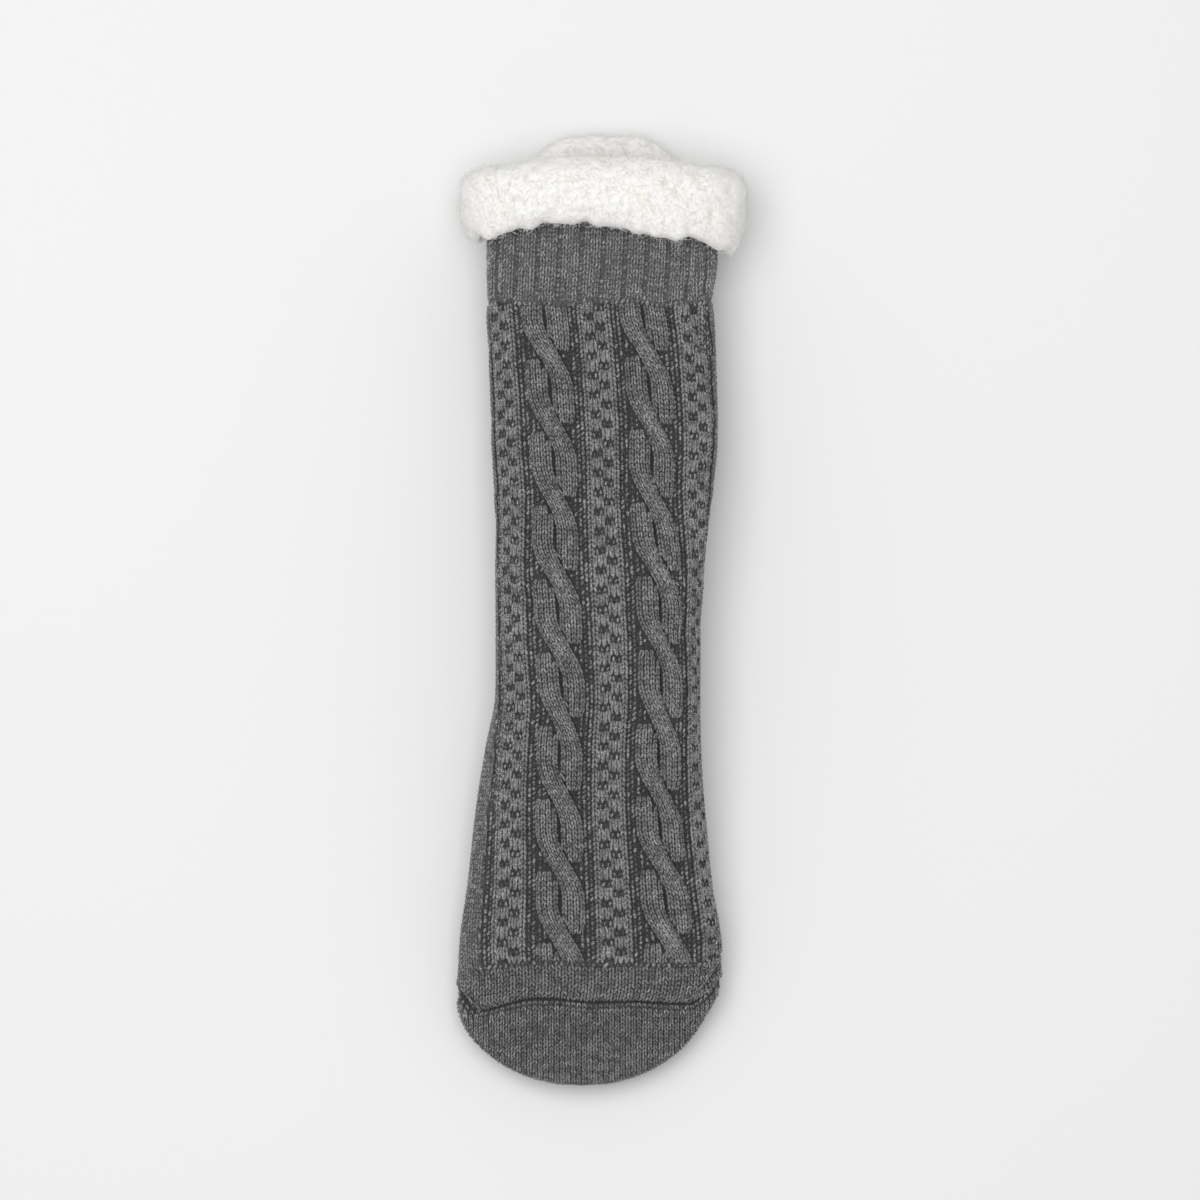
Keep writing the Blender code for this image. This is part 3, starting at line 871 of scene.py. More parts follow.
def patternStitches():
    # the cable panel: knit stitches, and specks of yarn in the sunken gutters and dots
    p, chart = knitPattern, knitChart
    pitch = p["cablePeriod"] / p["coursesPerCable"]
    rows = np.arange(p["panelStart"] + pitch / 2, p["panelEnd"] - pitch / 3, pitch)
    knit, specks = [], []

    def onPanel(place, row):
        fade = 0.004
        return panelShare(place, np.clip(row, p["panelStart"] + fade, p["panelEnd"] - fade)) > 0.5

    def chosen(kind, place, course, row):
        panel = onPanel(place, row)
        inside = panel & (course > 0) & (course < len(rows) - 1)
        if kind in ("plain", "edge", "gutter"):
            return {"plain": ~panel, "edge": panel & ~inside, "gutter": inside}[kind]
        if kind == "uncovered":
            spots = [place % 1.0 - 0.5 + shift for shift in (-0.02, 0.0, 0.02)]
            cover = [strandHeight(spot, cablePhase(row), strand) for spot in spots for strand in (0, 1)]
            return inside & (np.max(cover, axis=0) < 0.15)
        # dots of two wales and two courses, half a beat apart in the two columns
        fromMoss = (place + 0.5) % 1.0 - 0.5
        dotted = np.abs(fromMoss) < chart["dotReach"]
        beat = (course + np.where(fromMoss > 0, 2, 0)) % chart["dotCourses"]
        columns = {"moss": ~dotted, "betweenDots": dotted & (beat > 1), "dot": dotted & (beat == 0)}
        return inside & columns[kind]

    def lay(lots, wales, kind, shift=0.0):
        middles = (np.arange(p["repeats"])[:, None] + np.asarray(wales)[None, :]).ravel() % p["repeats"]
        place, course = grid(middles, np.arange(len(rows)))
        row = rows[course] + shift * pitch
        wanted = chosen(kind, place, course, row)
        ground = (groundRelief, yarnSizes["speckThick"]) if lots is specks else ()
        lots.append(waleStitches(place[wanted], row[wanted], pitch, kind, *ground))

    cableWales = np.array(chart["cableWales"]) + 0.5
    lay(knit, (np.arange(p["walesPerRepeat"]) + 0.5) / p["walesPerRepeat"], "plain")
    lay(knit, chart["mossWales"], "moss")
    lay(knit, chart["mossWales"], "betweenDots")
    lay(specks, chart["mossWales"], "dot", 0.5)
    for kind, wales in (("gutter", chart["gutterWales"]), ("uncovered", cableWales)):
        for i, wale in enumerate(wales):
            lay(specks, (wale,), kind, 0.5 * (i % 2))
    lay(specks, np.concatenate((chart["mossWales"], chart["gutterWales"], cableWales)), "edge")

    # the cables' strands, four wales each, that follow the crossings
    for strand in (0, 1):
        for lane, lanePaintedShade in zip(chart["strandLanes"], chart["lanePaintedShades"]):
            cable, row = grid(np.arange(p["repeats"]) + 0.5, rows[1:-1])
            phase = cablePhase(row)
            middle, halfWidth = strandMiddle(phase, strand)[:2]
            across = middle + lane * halfWidth
            shown = onPanel(cable + across, row)
            if strand == 1:
                shown &= (strandHeight(across, phase, 1) > 0.30) & (np.abs(phase) > 0.02)
            cable, row = cable[shown], row[shown]

            def placeOf(rowHere, side):
                phase = cablePhase(rowHere)
                middle, halfWidth = strandMiddle(phase, strand)[:2]
                across = middle + np.clip(lane + side * chart["laneWidth"], -1, 1) * halfWidth
                height = p["cableHeight"] * strandHeight(across, phase, strand)
                at = cable + across
                return at, height * panelShare(at, rowHere) * reliefShare(at, rowHere)

            # each lane's stitches carry its painted shade, darker at the strand's edges and lighter in its
            # middle
            knit.append(layStitches(placeOf, row, pitch, yarnSizes["thick"], lanePaintedShade))
    return joinStitches(knit), joinStitches(specks)


knitSizes = {
    "columns": 240,
    "panelRows": 150,
    "innerRows": 34,
    "groundSink": 0.0001,  # the ground lies this far under the stitches' feet
    "innerFolds": 0.7,  # the inside takes this share of the folds
    "bandTone": 1.2,  # of the ground, on the band at the toe
    "plainTone": 2.6,  # and under the other plain stitches
    "bandCourses": 8,
    "ribPitch": 0.00214,
    "ribsHidden": 0.012,  # under the cuff, without stitches
}


def makeKnit(materials, shapes, tree):
    form, p, s = sockForm, knitPattern, knitSizes
    start = toeSeam["fromToe"]
    repeat = aroundSock(s["columns"])
    outerRows = np.concatenate((
        start + toeSeam["edgeRoll"] * np.array((0, 0.25, 0.5, 0.75, 1.0)),
        np.linspace(start + toeSeam["edgeRoll"], p["panelStart"], 7)[1:-1],
        np.linspace(p["panelStart"], p["panelEnd"], s["panelRows"]),
        np.linspace(p["panelEnd"], form["knitLength"], 18)[1:],
    ))
    innerRows = np.linspace(start, form["knitLength"], s["innerRows"])[::-1]
    rows, groundTone = [], []
    for r in outerRows:
        row = np.full(len(repeat), r)
        rows.append(knitPoint(repeat, row, groundRelief(repeat, row) - s["groundSink"]))
    for r in innerRows:
        distance = rowDistance(repeat, np.full(len(repeat), r))
        point, normal = faceAt(innerShell, repeat, distance)
        folds = foldHeight(*faceAt(outerShell, repeat, distance))
        rows.append(point + normal * folds[:, None] * s["innerFolds"])
    # under plain stitches the ground stays darker than their yarn, partly as painted shade in the gaps
    for r in (*outerRows, *innerRows):
        plainTone = s["bandTone"] if r <= p["panelStart"] else s["plainTone"]
        groundTone.append(mix(plainTone, 1.0, panelShare(repeat, np.full(len(repeat), r))))
    faces = ringFaces(len(rows), len(repeat), True)
    mesh = newMesh("knitGround", np.concatenate(rows), faces)
    setAttribute(mesh, "tone", "FLOAT", np.concatenate(groundTone))
    ground = newPiece("knitGround", mesh, materials["platingYarnAndGapShade"])
    finishPiece(ground, "grey_knit", "knit_upper_and_sole")

    wales = (np.arange(p["repeats"] * p["walesPerRepeat"]) + 0.5) / p["walesPerRepeat"]
    bandPitch = (p["panelStart"] - start) / s["bandCourses"]
    bandRows = start + bandPitch * (np.arange(s["bandCourses"]) + 0.5)
    ribPitch = s["ribPitch"]
    ribRows = np.arange(p["panelEnd"] + ribPitch / 2, form["knitLength"] - s["ribsHidden"], ribPitch)
    troughs = np.arange(round(p["repeats"] * p["ribsPerRepeat"])) / p["ribsPerRepeat"] + p["ribStart"]
    ribWales = (troughs[:, None] + np.array(knitChart["ribWales"]) / p["ribsPerRepeat"]).ravel()
    knit, specks = patternStitches()
    onFoot, specksOnFoot = knit["row"] < form["heelEnd"], specks["row"] < form["heelEnd"]
    foot = chooseStitches(knit, onFoot)
    onTop = foot["facing"][:, 2] > -0.2
    lots = {
        "toeBandStitches": (waleStitches(*grid(wales, bandRows), bandPitch, "band"), "slim"),
        "ribStitches": (waleStitches(*grid(ribWales, ribRows), ribPitch, "rib"), "slim"),
        "ribPurlStitches": (waleStitches(*grid(troughs, ribRows), ribPitch, "ribSpeck"), "speck"),
        "legStitches": (chooseStitches(knit, ~onFoot), "knit"),
        "legPurlStitches": (chooseStitches(specks, ~specksOnFoot), "speck"),
        "footPurlStitches": (chooseStitches(specks, specksOnFoot), "speck"),
        "instepStitches": (chooseStitches(foot, onTop), "knit"),
        "soleStitches": (chooseStitches(foot, ~onTop), "knit"),
    }
    for seed, (name, (stitches, kind)) in enumerate(lots.items()):
        stitchPiece(name, stitches, kind, shapes, tree, materials["greyYarn"], 11 + seed, "grey_knit")


toeSizes = {
    "columns": 144,
    "outerRings": 46,
    "innerRings": 16,
    "ringGrowth": 1.6,  # the rings are closer at the tip
    "groundSink": 0.0003,
    "foldDepth": 1.2,  # the ground's folds are this much deeper than the stitches'
    "sideTone": 2.0,  # the ground is lighter at the sides, where the wales lie further apart
    "waleStart": 0.036,  # from the toe tip, where the wales are evenly apart
    "waleEnd": 0.048,  # and where the outermost ones are
    "walePitch": 0.00242,
    "waleFill": 1.05,
    "waleWidest": 0.0045,
    "coursePitch": 0.00187,
    "seamGap": 0.0012,  # the stitches on top end this far before the seam
    "thick": 0.00070,
    "rimThick": 0.5,  # the stitches lie this much flatter round the rim
    "courseShade": 0.10,  # some courses are lighter or darker
    "shellRows": 140,  # rows of the shell's table that reach past the toe
}


def makeToeGround(materials, repeat, seam):
    # a closed cup, whose outer face is the ground under the toe's stitches, dark partly as yarn under them
    # and partly as painted shade in the gaps between them
    form, s, columns = sockForm, toeSizes, len(repeat)

    def cup(shell, inset, count):
        distances = [mix(inset, seam - form["fitGap"], share)
                     for share in (np.arange(1, count + 1) / count) ** s["ringGrowth"]]
        return [(distance, *faceAt(shell, repeat, distance)) for distance in distances]

    rings = []
    for distance, point, normal in cup(outerShell, 0.0, s["outerRings"]):
        near = np.clip(1 - (seam - distance) / toeSeam["capRoll"], 0, 1)
        folded = np.minimum(foldField(point, toeFolds), 0) * facingUp(normal)
        lift = -toeSeam["capDip"] * near ** 2 - s["groundSink"] + s["foldDepth"] * folded
        ring = point + normal * lift[:, None]
        ring[:, 2] = np.maximum(ring[:, 2], form["restHeight"] + 0.0001)
        rings.append(ring)
    rings += [point for _, point, _ in cup(innerShell, form["knitWall"], s["innerRings"])][::-1]
    points = list(np.concatenate(rings))
    faces = ringFaces(len(rings), columns, False)
    for ring, inset in ((0, 0.0), (len(rings) - 1, form["knitWall"])):
        middle, height = sectionOutline(np.array(inset), inset)[:2]
        points.append((float(middle), inset - form["heel"], float(height)))
        tip = len(points) - 1
        for j in range(columns):
            a, b = ring * columns + j, ring * columns + (j + 1) % columns
            faces.append((b, a, tip) if ring == 0 else (a, b, tip))
    mesh = newMesh("toeGround", points, faces)
    sideways = np.abs(np.array([vertex.normal.x for vertex in mesh.vertices]))
    setAttribute(mesh, "tone", "FLOAT", 1 + s["sideTone"] * soft(0.70, 0.95, sideways))
    finishPiece(newPiece("toeGround", mesh, materials["toeGroundYarnAndGapShade"]), "plain_knit", "toe_cap")


def evenWales(start):
    # even steps over the top of the toe, so that its sides are covered too
    turn = np.linspace(-math.pi / 2, math.pi / 2, 400)
    middleX, middleZ, halfWidth, halfHeight, power = sectionOutline(np.array(start), 0.0)
    x = middleX + halfWidth * signedPower(np.sin(turn), 2 / power)
    z = middleZ + halfHeight * signedPower(np.cos(turn), 2 / power)
    over = np.concatenate(([0], np.cumsum(np.hypot(np.diff(x), np.diff(z)))))
    stops = np.arange(toeSizes["walePitch"] / 2, over[-1], toeSizes["walePitch"])
    return np.interp(stops, over, x)


def pointFinder(points):
    finder = kdtree.KDTree(len(points))
    for i, point in enumerate(points):
        finder.insert(point, i)
    finder.balance()
    return finder


def toeStitches(repeat, seam):
    # wales run straight from the seam on top, over the toes and back to the seam beneath
    form, s = sockForm, toeSizes
    table = outerShell["field"][:s["shellRows"]:2, :-1:2].reshape(-1, 6)
    finder = pointFinder(table[:, :3])
    seamX = faceAt(outerShell, repeat, seam)[0][:, 0]
    seamTop = fromTop(girthShare(repeat, seam)) < 0.25
    order = np.argsort(seamX[seamTop])
    topX, topSeam = seamX[seamTop][order], seam[seamTop][order]
    fine = np.linspace(0.0008, 0.056, 700)
    middle, height, halfWidth, halfHeight, square = sectionOutline(fine, 0.0)
    shades = 1 + s["courseShade"] * np.random.default_rng(7).uniform(-1, 1, 40)
    wales, widest = evenWales(s["waleStart"]), evenWales(s["waleEnd"])
    more = widest[(widest < wales.min() - 0.0001) | (widest > wales.max() + 0.0001)]
    wales = np.sort(np.concatenate((wales, more)))
    lots = []
    for x, gap in zip(wales, np.gradient(wales)):
        inside = np.abs(x - middle) < halfWidth * 0.9995
        if not inside.any():
            continue
        d, z = fine[inside], height[inside]
        u = np.abs(x - middle[inside]) / halfWidth[inside]
        rise = halfHeight[inside] * (1 - u ** square[inside]) ** (1 / square[inside])
        beside = x + s["walePitch"] * np.array((-0.5, 0.0, 0.5))
        edgeTop = float(np.interp(beside, topX, topSeam).max()) - s["seamGap"]
        top, low = (np.stack((np.full(len(d), x), d - form["heel"], face), axis=1)
                    for face in (z + rise, z - rise))
        top, low = top[d < edgeTop], low[d < toeSeam["under"] - 0.0004]
        low[:, 2] = np.maximum(low[:, 2], form["restHeight"])
        if len(top) < 2 or len(low) < 2:
            continue
        path = np.concatenate((top[::-1], low))
        reach = np.concatenate(([0], np.cumsum(np.linalg.norm(np.diff(path, axis=0), axis=1))))
        courses = int(reach[-1] / s["coursePitch"])
        if courses < 2:
            continue
        stops = (np.arange(courses) + 0.5) * reach[-1] / courses
        at, ahead, behind = (
            np.stack([np.interp(stops + shift, reach, path[:, k]) for k in range(3)], axis=1)
            for shift in (0, -0.0008, 0.0008)
        )
        normals = np.array([table[finder.find(point)[1]][3:] for point in at])
        near = np.clip(1 - stops / toeSeam["capRoll"], 0, 1)
        under = np.clip(1 - (reach[-1] - stops) / toeSeam["capRoll"], 0, 1)
        lift = foldField(at, toeFolds) * facingUp(normals)
        lift -= toeSeam["capDip"] * (near ** 2 + under ** 2)
        at = at + normals * lift[:, None]
        # a wale is as broad as the face between its neighbours, which is steep at the sides
        slope = np.sqrt(np.maximum(1 - normals[:, 0] ** 2, 0.04))
        broad = s["waleFill"] * np.minimum(gap / slope, s["waleWidest"])
        thick = s["thick"] * mix(s["rimThick"], 1.0, np.abs(normals[:, 2]))
        number = ((at[:, 1] + form["heel"]) / s["coursePitch"]).astype(int) % len(shades)
        lots.append({
            "place": at,
            "alongWale": unit(ahead - behind),
            "facing": normals,
            "stitchSize": np.stack((broad, np.full(courses, reach[-1] / courses), thick), axis=1),
            "tone": shades[number],
        })
    return joinStitches(lots)


def makeToe(materials, shapes, tree):
    repeat = aroundSock(toeSizes["columns"])
    seam = seamDistance(repeat)
    makeToeGround(materials, repeat, seam)
    stitches = toeStitches(repeat, seam)
    stitchPiece("toeStitches", stitches, "slim", shapes, tree, materials["toeYarn"], 31, "plain_knit")


# The turned sherpa cuff, lengths from the rim of the knit
cuffSizes = {
    "thick": 0.0125,
    "floorThick": 0.0095,
    "tuckThick": 0.0050,
    "frontDrop": 0.0135,  # rim of the knit down to the cuff's lower edge
    "sideDrop": 0.0255,
    "frontRise": 0.0145,  # rim of the knit to the lip
    "sideRise": 0.0100,
    "backRise": 0.0250,
    "hem": 0.0020,
    "edgeLift": 0.0006,
    "tuckEnd": 0.365,
    "lumpHeight": 0.0010,
    "lumpSpacing": 0.0090,
    "bandPress": 0.0012,  # the cuff presses this far into the cables' height
    "pileStart": 0.0010,  # the pile starts this far under the hem's edge
    "pileFade": 0.0025,
    "hemWaves": ((0.0007, 17, 0.6), (0.0004, 29, 2.0)),  # height, waves round, start
    "hemThick": 0.35,  # of the pile's thickness
    # shares of the girth from the top's middle, over which one size gives way to the next
    "sideShares": (0.05, 0.22),
    "hemShares": (0.25, 0.36),
    "floorShares": (0.27, 0.38),
    "backShares": (0.32, 0.44),
    "columns": 400,
    "rows": 110,
}

# The cuff's lower edge on top isn't even: distance to the +X side, and how much lower it
# hangs
hemLine = {
    "x": (-0.052, -0.044, -0.033, -0.022, -0.011, 0.000, 0.011, 0.025, 0.0355, 0.044, 0.052),
    "shift": (-0.0050, -0.0052, -0.0042, -0.0016, 0.0005, 0.0009, 0.0032, 0.0050, 0.0010,
              -0.0028, 0.0010),
}

# Creases between the clumps of pile, as seen from above:
# start x, y, end x, y, half width, height
cuffCreases = (
    (0.0273, 0.1917, 0.0383, 0.1818, 0.0013, -0.0016),
    (0.0152, 0.1873, 0.0273, 0.1741, 0.0013, -0.0016),
    (0.0504, 0.1800, 0.0506, 0.1700, 0.0014, -0.0015),
    (-0.0016, 0.2041, 0.0050, 0.1988, 0.0018, -0.0020),
    (0.0094, 0.2045, 0.0152, 0.2010, 0.0015, -0.0014),
    (-0.0443, 0.1754, -0.0377, 0.1798, 0.0014, -0.0010),
    (-0.0368, 0.2005, -0.0289, 0.1996, 0.0013, -0.0009),
    (0.0306, 0.2019, 0.0394, 0.1996, 0.0013, -0.0009),
    (-0.0135, 0.1950, -0.0120, 0.1885, 0.0013, -0.0009),
    (0.0438, 0.1961, 0.0469, 0.1873, 0.0014, -0.0010),
    (-0.0195, 0.1810, -0.0150, 0.1772, 0.0013, -0.0012),
    (-0.0520, 0.1900, -0.0420, 0.1886, 0.0013, -0.0008),
)

# reach and depth of the pile's face, from the lower edge over the lip into the collar
cuffPile = (
    (-1.00, 0.75), (-0.52, 1.00), (-0.04, 1.00), (0.34, 0.96), (0.66, 0.72),
    (0.92, 0.32), (1.00, -0.08), (0.82, -0.80), (0.30, -1.00),
)


def cuffPoint(repeat, distance, height):
    onBand = np.minimum(distance, sockForm["knitLength"])
    outer, normal = faceAt(outerShell, repeat, onBand)
    inner = faceAt(tuckShell, repeat, onBand)[0]
    point = outer + unit(normal * (1, 0, 1)) * np.maximum(height, 0)[..., None]
    point = point + (inner - outer) * np.clip(-height / tuckInset, 0, 1)[..., None]
    point[..., 1] += distance - onBand
    point[..., 2] = np.maximum(point[..., 2], 0)
    return point


def lumpField(points, spacing, seed):
    # rounded clumps of pile: 1 on a clump's crown, 0 in the hollows between clumps
    random = np.random.default_rng(seed)
    low, high = points.min(0) - spacing, points.max(0) + spacing
    counts = np.ceil((high - low) / spacing).astype(int)
    axes = [low[k] + spacing * np.arange(counts[k]) for k in range(3)]
    crowns = np.stack(np.meshgrid(*axes, indexing="ij"), axis=-1).reshape(-1, 3)
    finder = pointFinder(crowns + random.uniform(0, spacing, crowns.shape))
    height = np.zeros(len(points))
    for i, point in enumerate(points):
        near = finder.find_n(point, 2)
        height[i] = (near[1][2] - near[0][2]) / spacing
    return np.sin(np.clip(height * 1.2, 0, 1) * math.pi / 2)


def gridNormals(points):
    # normals of a grid that closes both ways, shape rows, columns, 3
    along = np.roll(points, -1, axis=0) - np.roll(points, 1, axis=0)
    around = np.roll(points, -1, axis=1) - np.roll(points, 1, axis=1)
    return unit(np.cross(around, along))


def cuffProfile(repeat):
    # the cuff's closed section in each column: distances and heights, from the hem's edge
    # over the lip into the collar and back between pile and knit
    c, form = cuffSizes, sockForm
    columns = len(repeat)
    share = fromTop(girthShare(repeat, form["knitLength"]))
    toSide, toBack = soft(*c["sideShares"], share), soft(*c["backShares"], share)
    thick = mix(c["thick"], c["floorThick"], soft(*c["floorShares"], share))
    drop = mix(c["frontDrop"], c["sideDrop"], toSide)
    rise = mix(mix(c["frontRise"], c["sideRise"], toSide), c["backRise"], toBack)
    turn = 2 * math.pi * np.arange(columns) / columns
    for height, waves, start in c["hemWaves"]:
        drop = drop + height * np.sin(waves * turn + start)
    rimX = faceAt(outerShell, repeat, form["knitLength"])[0][:, 0]
    onTop = 1 - soft(*c["hemShares"], share)
    drop = drop + np.interp(rimX, hemLine["x"], hemLine["shift"]) * onTop
    rim = form["knitLength"] + form["fitGap"]
    hem = rim - drop
    outside = knitPattern["cableHeight"] + form["fitGap"] - c["bandPress"]
    inside = -form["knitWall"] - form["fitGap"]
    face = inside - c["tuckThick"]
    profile = [(hem + c["hem"], outside + c["edgeLift"]), (hem - c["hem"], c["hemThick"] * thick)]
    for reach, depth in cuffPile:
        length, high = drop if reach < 0 else rise, thick if depth > 0 else -face
        profile.append((rim + reach * length, depth * high))
    halfway = (rim + c["tuckEnd"]) / 2
    profile += [(halfway, face), (c["tuckEnd"], face), (c["tuckEnd"], inside)]
    profile += [(halfway, inside), (rim, inside), (rim, outside), ((rim + hem) / 2, outside)]
    return np.array([[np.broadcast_to(value, columns) for value in pair] for pair in profile])


def makeCuff(materials):
    c = cuffSizes
    columns, rows = c["columns"], c["rows"]
    repeat = aroundSock(columns)
    table = cuffProfile(repeat)
    loop = np.concatenate((table, table[:1]))
    steps = np.hypot(*np.diff(loop, axis=0).transpose(1, 0, 2))
    lengths = np.concatenate((np.zeros((1, columns)), np.cumsum(steps, axis=0)))
    # even rows round the section. The pile's own face is rounded, and the rows against the
    # knit stay put
    even = np.zeros((rows, 2, columns))
    pileShare = np.zeros((rows, columns))
    for j in range(columns):
        stops = np.arange(rows) / rows * lengths[-1, j]
        for k in range(2):
            even[:, k, j] = np.interp(stops, lengths[:, j], loop[:, k, j])
        first, last = lengths[1, j] - c["pileStart"], lengths[12, j]
        rising, falling = (stops - first) / c["pileFade"], (last - stops) / c["pileFade"]
        pileShare[:, j] = np.clip(rising, 0, 1) * np.clip(falling, 0, 1)
    for _ in range(4):
        eased = (np.roll(even, 1, axis=0) + 2 * even + np.roll(even, -1, axis=0)) / 4
        even = mix(even, eased, pileShare[:, None, :])
    points = cuffPoint(np.broadcast_to(repeat, (rows, columns)), even[:, 0], even[:, 1])
    normals = gridNormals(points)
    flat = points.reshape(-1, 3)
    big = lumpField(flat, c["lumpSpacing"], 5).reshape(rows, columns)
    fine = lumpField(flat, c["lumpSpacing"] * 0.45, 8).reshape(rows, columns)
    pileHeight = 0.7 * big + 0.3 * fine
    crease = foldField(points, cuffCreases) * soft(0.1, 0.5, normals[..., 2])
    lift = (c["lumpHeight"] * (pileHeight - 0.45) + crease) * pileShare
    points = points + normals * lift[..., None]
    points[..., 2] = np.maximum(points[..., 2], 0)
    mesh = newMesh("fleeceCuff", points.reshape(-1, 3), ringFaces(rows, columns, True))
    # 0.7 on a crown, and less than nothing in a crease, for the pile's colour: the darker hollow colour in
    # the creases is partly painted shade
    setAttribute(mesh, "pileHeight", "FLOAT", (pileHeight * 0.7 + crease / 0.0015).ravel())
    setAttribute(mesh, "pileShare", "FLOAT", pileShare.ravel())
    cuff = newPiece("fleeceCuff", mesh, materials["sherpa"])
    finishPiece(cuff, "sherpa_fleece", "sherpa_cuff")
    return cuff


def curlShape(name, points, radii, sides):
    # a closed curl of pile along a path, round and tapered, with a tip at each end
    path = np.array(points)
    found, faces = [path[0]], []
    for i in range(1, len(path) - 1):
        run = unit(path[i + 1] - path[i - 1])
        up = unit(np.cross(run, (0, 1, 0)))
        for j in range(sides):
            turn = 2 * math.pi * j / sides
            sideways = np.array((0, 1, 0)) * math.cos(turn) + up * math.sin(turn)
            found.append(path[i] + sideways * radii[i])
    found.append(path[-1])
    rings = len(path) - 2
    for j in range(sides):
        k = (j + 1) % sides
        faces.append((0, 1 + j, 1 + k))
        for i in range(rings - 1):
            a = 1 + i * sides
            faces.append((a + j, a + k, a + sides + k, a + sides + j))
        a = 1 + (rings - 1) * sides
        faces.append((a + j, a + k, len(found) - 1))
    return shapeObject(name, [(found, faces)])


def pileTree():
    # scatters a shape over a pile, each turned and leaning its own way
    tree, given = newTree("growPile", "Geometry", {
        "Geometry": "Geometry", "Lock": "Object", "Material": "Material", "Spacing": "Float",
        "Density": "Float", "Lean": "Float", "Smallest": "Float", "Largest": "Float", "Seed": "Int",
    }, {"Geometry": "Geometry"})
    sown = addNode(tree, "GeometryNodeDistributePointsOnFaces", {
        "Mesh": given["Geometry"], "Distance Min": given["Spacing"], "Density Max": given["Density"],
        "Density Factor": stored(tree, "pileShare", "FLOAT"), "Seed": given["Seed"],
    }, distribute_method="POISSON").outputs
    spin = randomValue(tree, "FLOAT_VECTOR", (-1, -1, -math.pi), (1, 1, math.pi), given["Seed"])
    lean = {"X": given["Lean"], "Y": given["Lean"], "Z": 1.0}
    angles = {0: spin, 1: addNode(tree, "ShaderNodeCombineXYZ", lean, "Vector")}
    angles = addNode(tree, "ShaderNodeVectorMath", angles, "Vector", operation="MULTIPLY")
    turn = turnedBy(tree, sown["Rotation"], angles)
    size = randomValue(tree, "FLOAT", given["Smallest"], given["Largest"], given["Seed"])
    finishTree(tree, laidOut(tree, sown["Points"], given["Lock"], turn, size), given["Material"])
    return tree


pileSizes = {
    "lockLength": 0.0068,
    "lockThick": 0.0018,
    "lockRise": 0.0002,  # how far a lock's crown stands out of the fleece
    "lockSpacing": 0.0036,
    "hairLength": 0.0042,
    "hairThick": 0.00008,
    "hairRise": 0.0011,
    "hairSpacing": 0.00106,
    "lockBend": 0.010,
    "crowding": 3.0,  # points tried in a square of the spacing
    "tone": 0.55,  # locks and hairs are lit tips of the pile
}


def makePile(materials, cuff):
    # locks that lie in the fleece, and fine hairs that stand off it
    s = pileSizes
    tree = pileTree()
    shares = np.linspace(-0.5, 0.5, 7)
    crown = s["lockRise"] - s["lockThick"]
    lockPath = [(s["lockLength"] * t, 0.0, crown - s["lockBend"] * t * t) for t in shares]
    lockRadii = s["lockThick"] * np.sqrt(1 - (shares * 1.9) ** 2)
    lock = curlShape("lock", lockPath, lockRadii, 6)
    hairPath = [(-0.1, -0.4), (0.1, 0.5), (0.6, 1.0), (1.0, 0.6)]
    hairPath = [(s["hairLength"] * along, 0.0, s["hairRise"] * high) for along, high in hairPath]
    hair = curlShape("hair", hairPath, [0.0, s["hairThick"], s["hairThick"] * 0.8, 0.0], 3)
    for name, shape, spacing, lean, smallest, largest, seed in (
        ("fleeceLocks", lock, s["lockSpacing"], 0.18, 0.7, 1.15, 3),
        ("fleeceHairs", hair, s["hairSpacing"], 0.35, 0.6, 1.2, 4),
    ):
        values = {
            "Lock": shape, "Material": materials["sherpaLocks"], "Spacing": spacing,
            "Density": s["crowding"] / spacing ** 2, "Lean": lean, "Smallest": smallest, "Largest": largest,
            "Seed": seed,
        }
        piece = treeResult(cuff.data.copy(), tree, values, name, materials["sherpaLocks"])
        if "pileHeight" not in piece.data.attributes:
            tones = np.full(len(piece.data.vertices), s["tone"])
            setAttribute(piece.data, "pileHeight", "FLOAT", tones)
        finishPiece(piece, "sherpa_fleece")


liningSizes = {
    "outerInset": 0.0034,  # under the knit's outer face
    "innerInset": 0.0066,
    "endGap": 0.0008,  # before the cuff's tucked end
    "lumpSpacing": 0.006,
    "lumpHeight": 0.0016,
    "columns": 120,
    "rows": 110,
    "rowGrowth": 1.15,  # the rows are closer at the toe
}


def makeLining(materials):
    # the sherpa lining inside the knit, from the toe to the cuff's end
    s = liningSizes
    columns, rows = s["columns"], s["rows"]
    repeat = aroundSock(columns)
    outerFace, innerFace = makeShell(s["outerInset"]), makeShell(s["innerInset"])
    length = cuffSizes["tuckEnd"] - s["endGap"] - s["innerInset"]
    distances = s["innerInset"] + length * np.linspace(0.01, 1, rows) ** s["rowGrowth"]
    outer = np.array([faceAt(outerFace, repeat, d)[0] for d in distances])
    inner, normals = np.array([faceAt(innerFace, repeat, d) for d in distances[::-1]]).transpose(1, 0, 2, 3)
    lumps = lumpField(inner.reshape(-1, 3), s["lumpSpacing"], 21).reshape(rows, columns)
    inner = inner - normals * (s["lumpHeight"] * lumps)[..., None]
    points = np.concatenate((outer, inner)).reshape(-1, 3)
    mesh = newMesh("fleeceLining", points, ringFaces(2 * rows, columns, True))
    # the lining's crowns take the tip colour and its hollows the warmer, darker hollow colour, partly painted
    # shade
    height = np.concatenate((np.zeros(rows * columns), lumps.ravel() * 0.8))
    setAttribute(mesh, "pileHeight", "FLOAT", height)
    finishPiece(newPiece("fleeceLining", mesh, materials["sherpa"]), "sherpa_fleece")


# Floor, lights and camera
studio = {
    "floorColour": (0.80, 0.80, 0.80, 1),
    "worldColour": (1.0, 1.0, 1.0, 1),
    "worldStrength": 0.55,
    "keySize": 1.6,
    "keyX": -0.25,
    "keyY": 0.25,
    "keyHeight": 1.9,
    "keyPower": 26.0,
    "photoWidth": 0.5289,  # 1200 pixels at 0.4407 mm each
    "lens": 350.0,
    "sensor": 36.0,
    "aim": (0.001, 0.0066, 0.025),  # what the picture's middle shows
    "floorHalf": 6.0,
    "grainDark": 0.985,
}


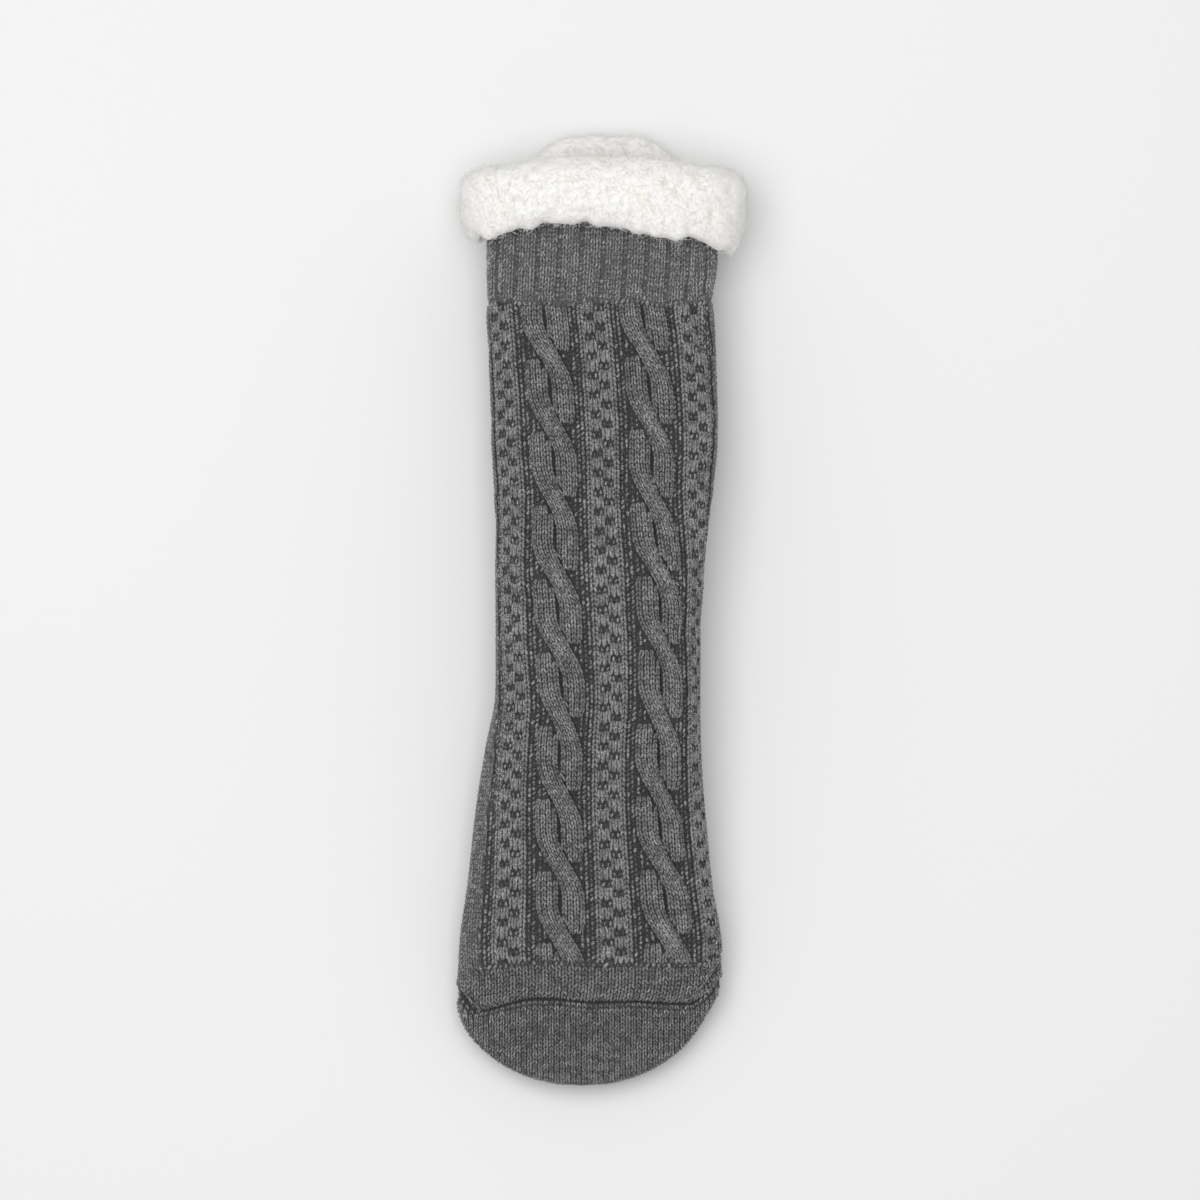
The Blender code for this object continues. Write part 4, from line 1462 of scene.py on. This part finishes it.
def makeStudio():
    s = studio
    size = s["floorHalf"]
    mesh = newMesh("floor", [(-size, -size, 0), (size, -size, 0), (size, size, 0), (-size, size, 0)],
                   [(0, 1, 2, 3)])
    material, tree, shader = newMaterial("paleFloor")
    shades = {0: noise(tree, 3.0, 1.0), 6: tuple(v * s["grainDark"] for v in s["floorColour"][:3]) + (1,),
              7: s["floorColour"]}
    setInputs(tree, shader, {
        "Specular IOR Level": 0.2,
        "Roughness": 0.7,
        "Base Color": addNode(tree, "ShaderNodeMix", shades, 2, data_type="RGBA"),
    })
    floor = newPiece("floor", mesh, material)

    scene = bpy.context.scene
    world = bpy.data.worlds.new("softStudio")
    world.use_nodes = True
    back = world.node_tree.nodes["Background"]
    back.inputs["Color"].default_value = s["worldColour"]
    back.inputs["Strength"].default_value = s["worldStrength"]
    scene.world = world

    lamp = bpy.data.lights.new("softbox", "AREA")
    lamp.shape = "RECTANGLE"
    lamp.size, lamp.size_y = s["keySize"], s["keySize"]
    lamp.energy = s["keyPower"]
    key = bpy.data.objects.new("softbox", lamp)
    key.location = (s["keyX"], s["keyY"], s["keyHeight"])
    lean = (-math.atan2(s["keyY"], s["keyHeight"]), math.atan2(s["keyX"], s["keyHeight"]))
    key.rotation_euler = (*lean, 0)
    key.visible_camera = False
    scene.collection.objects.link(key)

    cameraData = bpy.data.cameras.new("overhead")
    cameraData.lens = s["lens"]
    cameraData.sensor_width = s["sensor"]
    aimX, aimY, aimHeight = s["aim"]
    height = s["photoWidth"] * s["lens"] / s["sensor"]
    camera = bpy.data.objects.new("overhead", cameraData)
    camera.location = (aimX, aimY, height + aimHeight)
    cameraData.clip_end = 50.0
    scene.collection.objects.link(camera)
    scene.camera = camera
    scene.view_settings.view_transform = "Standard"
    scene.view_settings.look = "None"
    scene.view_settings.exposure = 0.0
    scene.view_settings.gamma = 1.0


for leftover in list(bpy.data.objects):
    if leftover.type in ("LIGHT", "CAMERA") or leftover.name == "Cube":
        bpy.data.objects.remove(leftover)

print("shells")
tuckInset = sockForm["knitWall"] + sockForm["fitGap"] + cuffSizes["tuckThick"]
outerShell = makeShell(0.0)
innerShell = makeShell(sockForm["knitWall"])
tuckShell = makeShell(tuckInset)
materials = makeMaterials()
shapes = stitchShapes()
layTree = stitchTree()
print("knit")
makeKnit(materials, shapes, layTree)
print("toe")
makeToe(materials, shapes, layTree)
print("cuff")
cuffBase = makeCuff(materials)
makePile(materials, cuffBase)
print("lining")
makeLining(materials)
print("studio")
makeStudio()
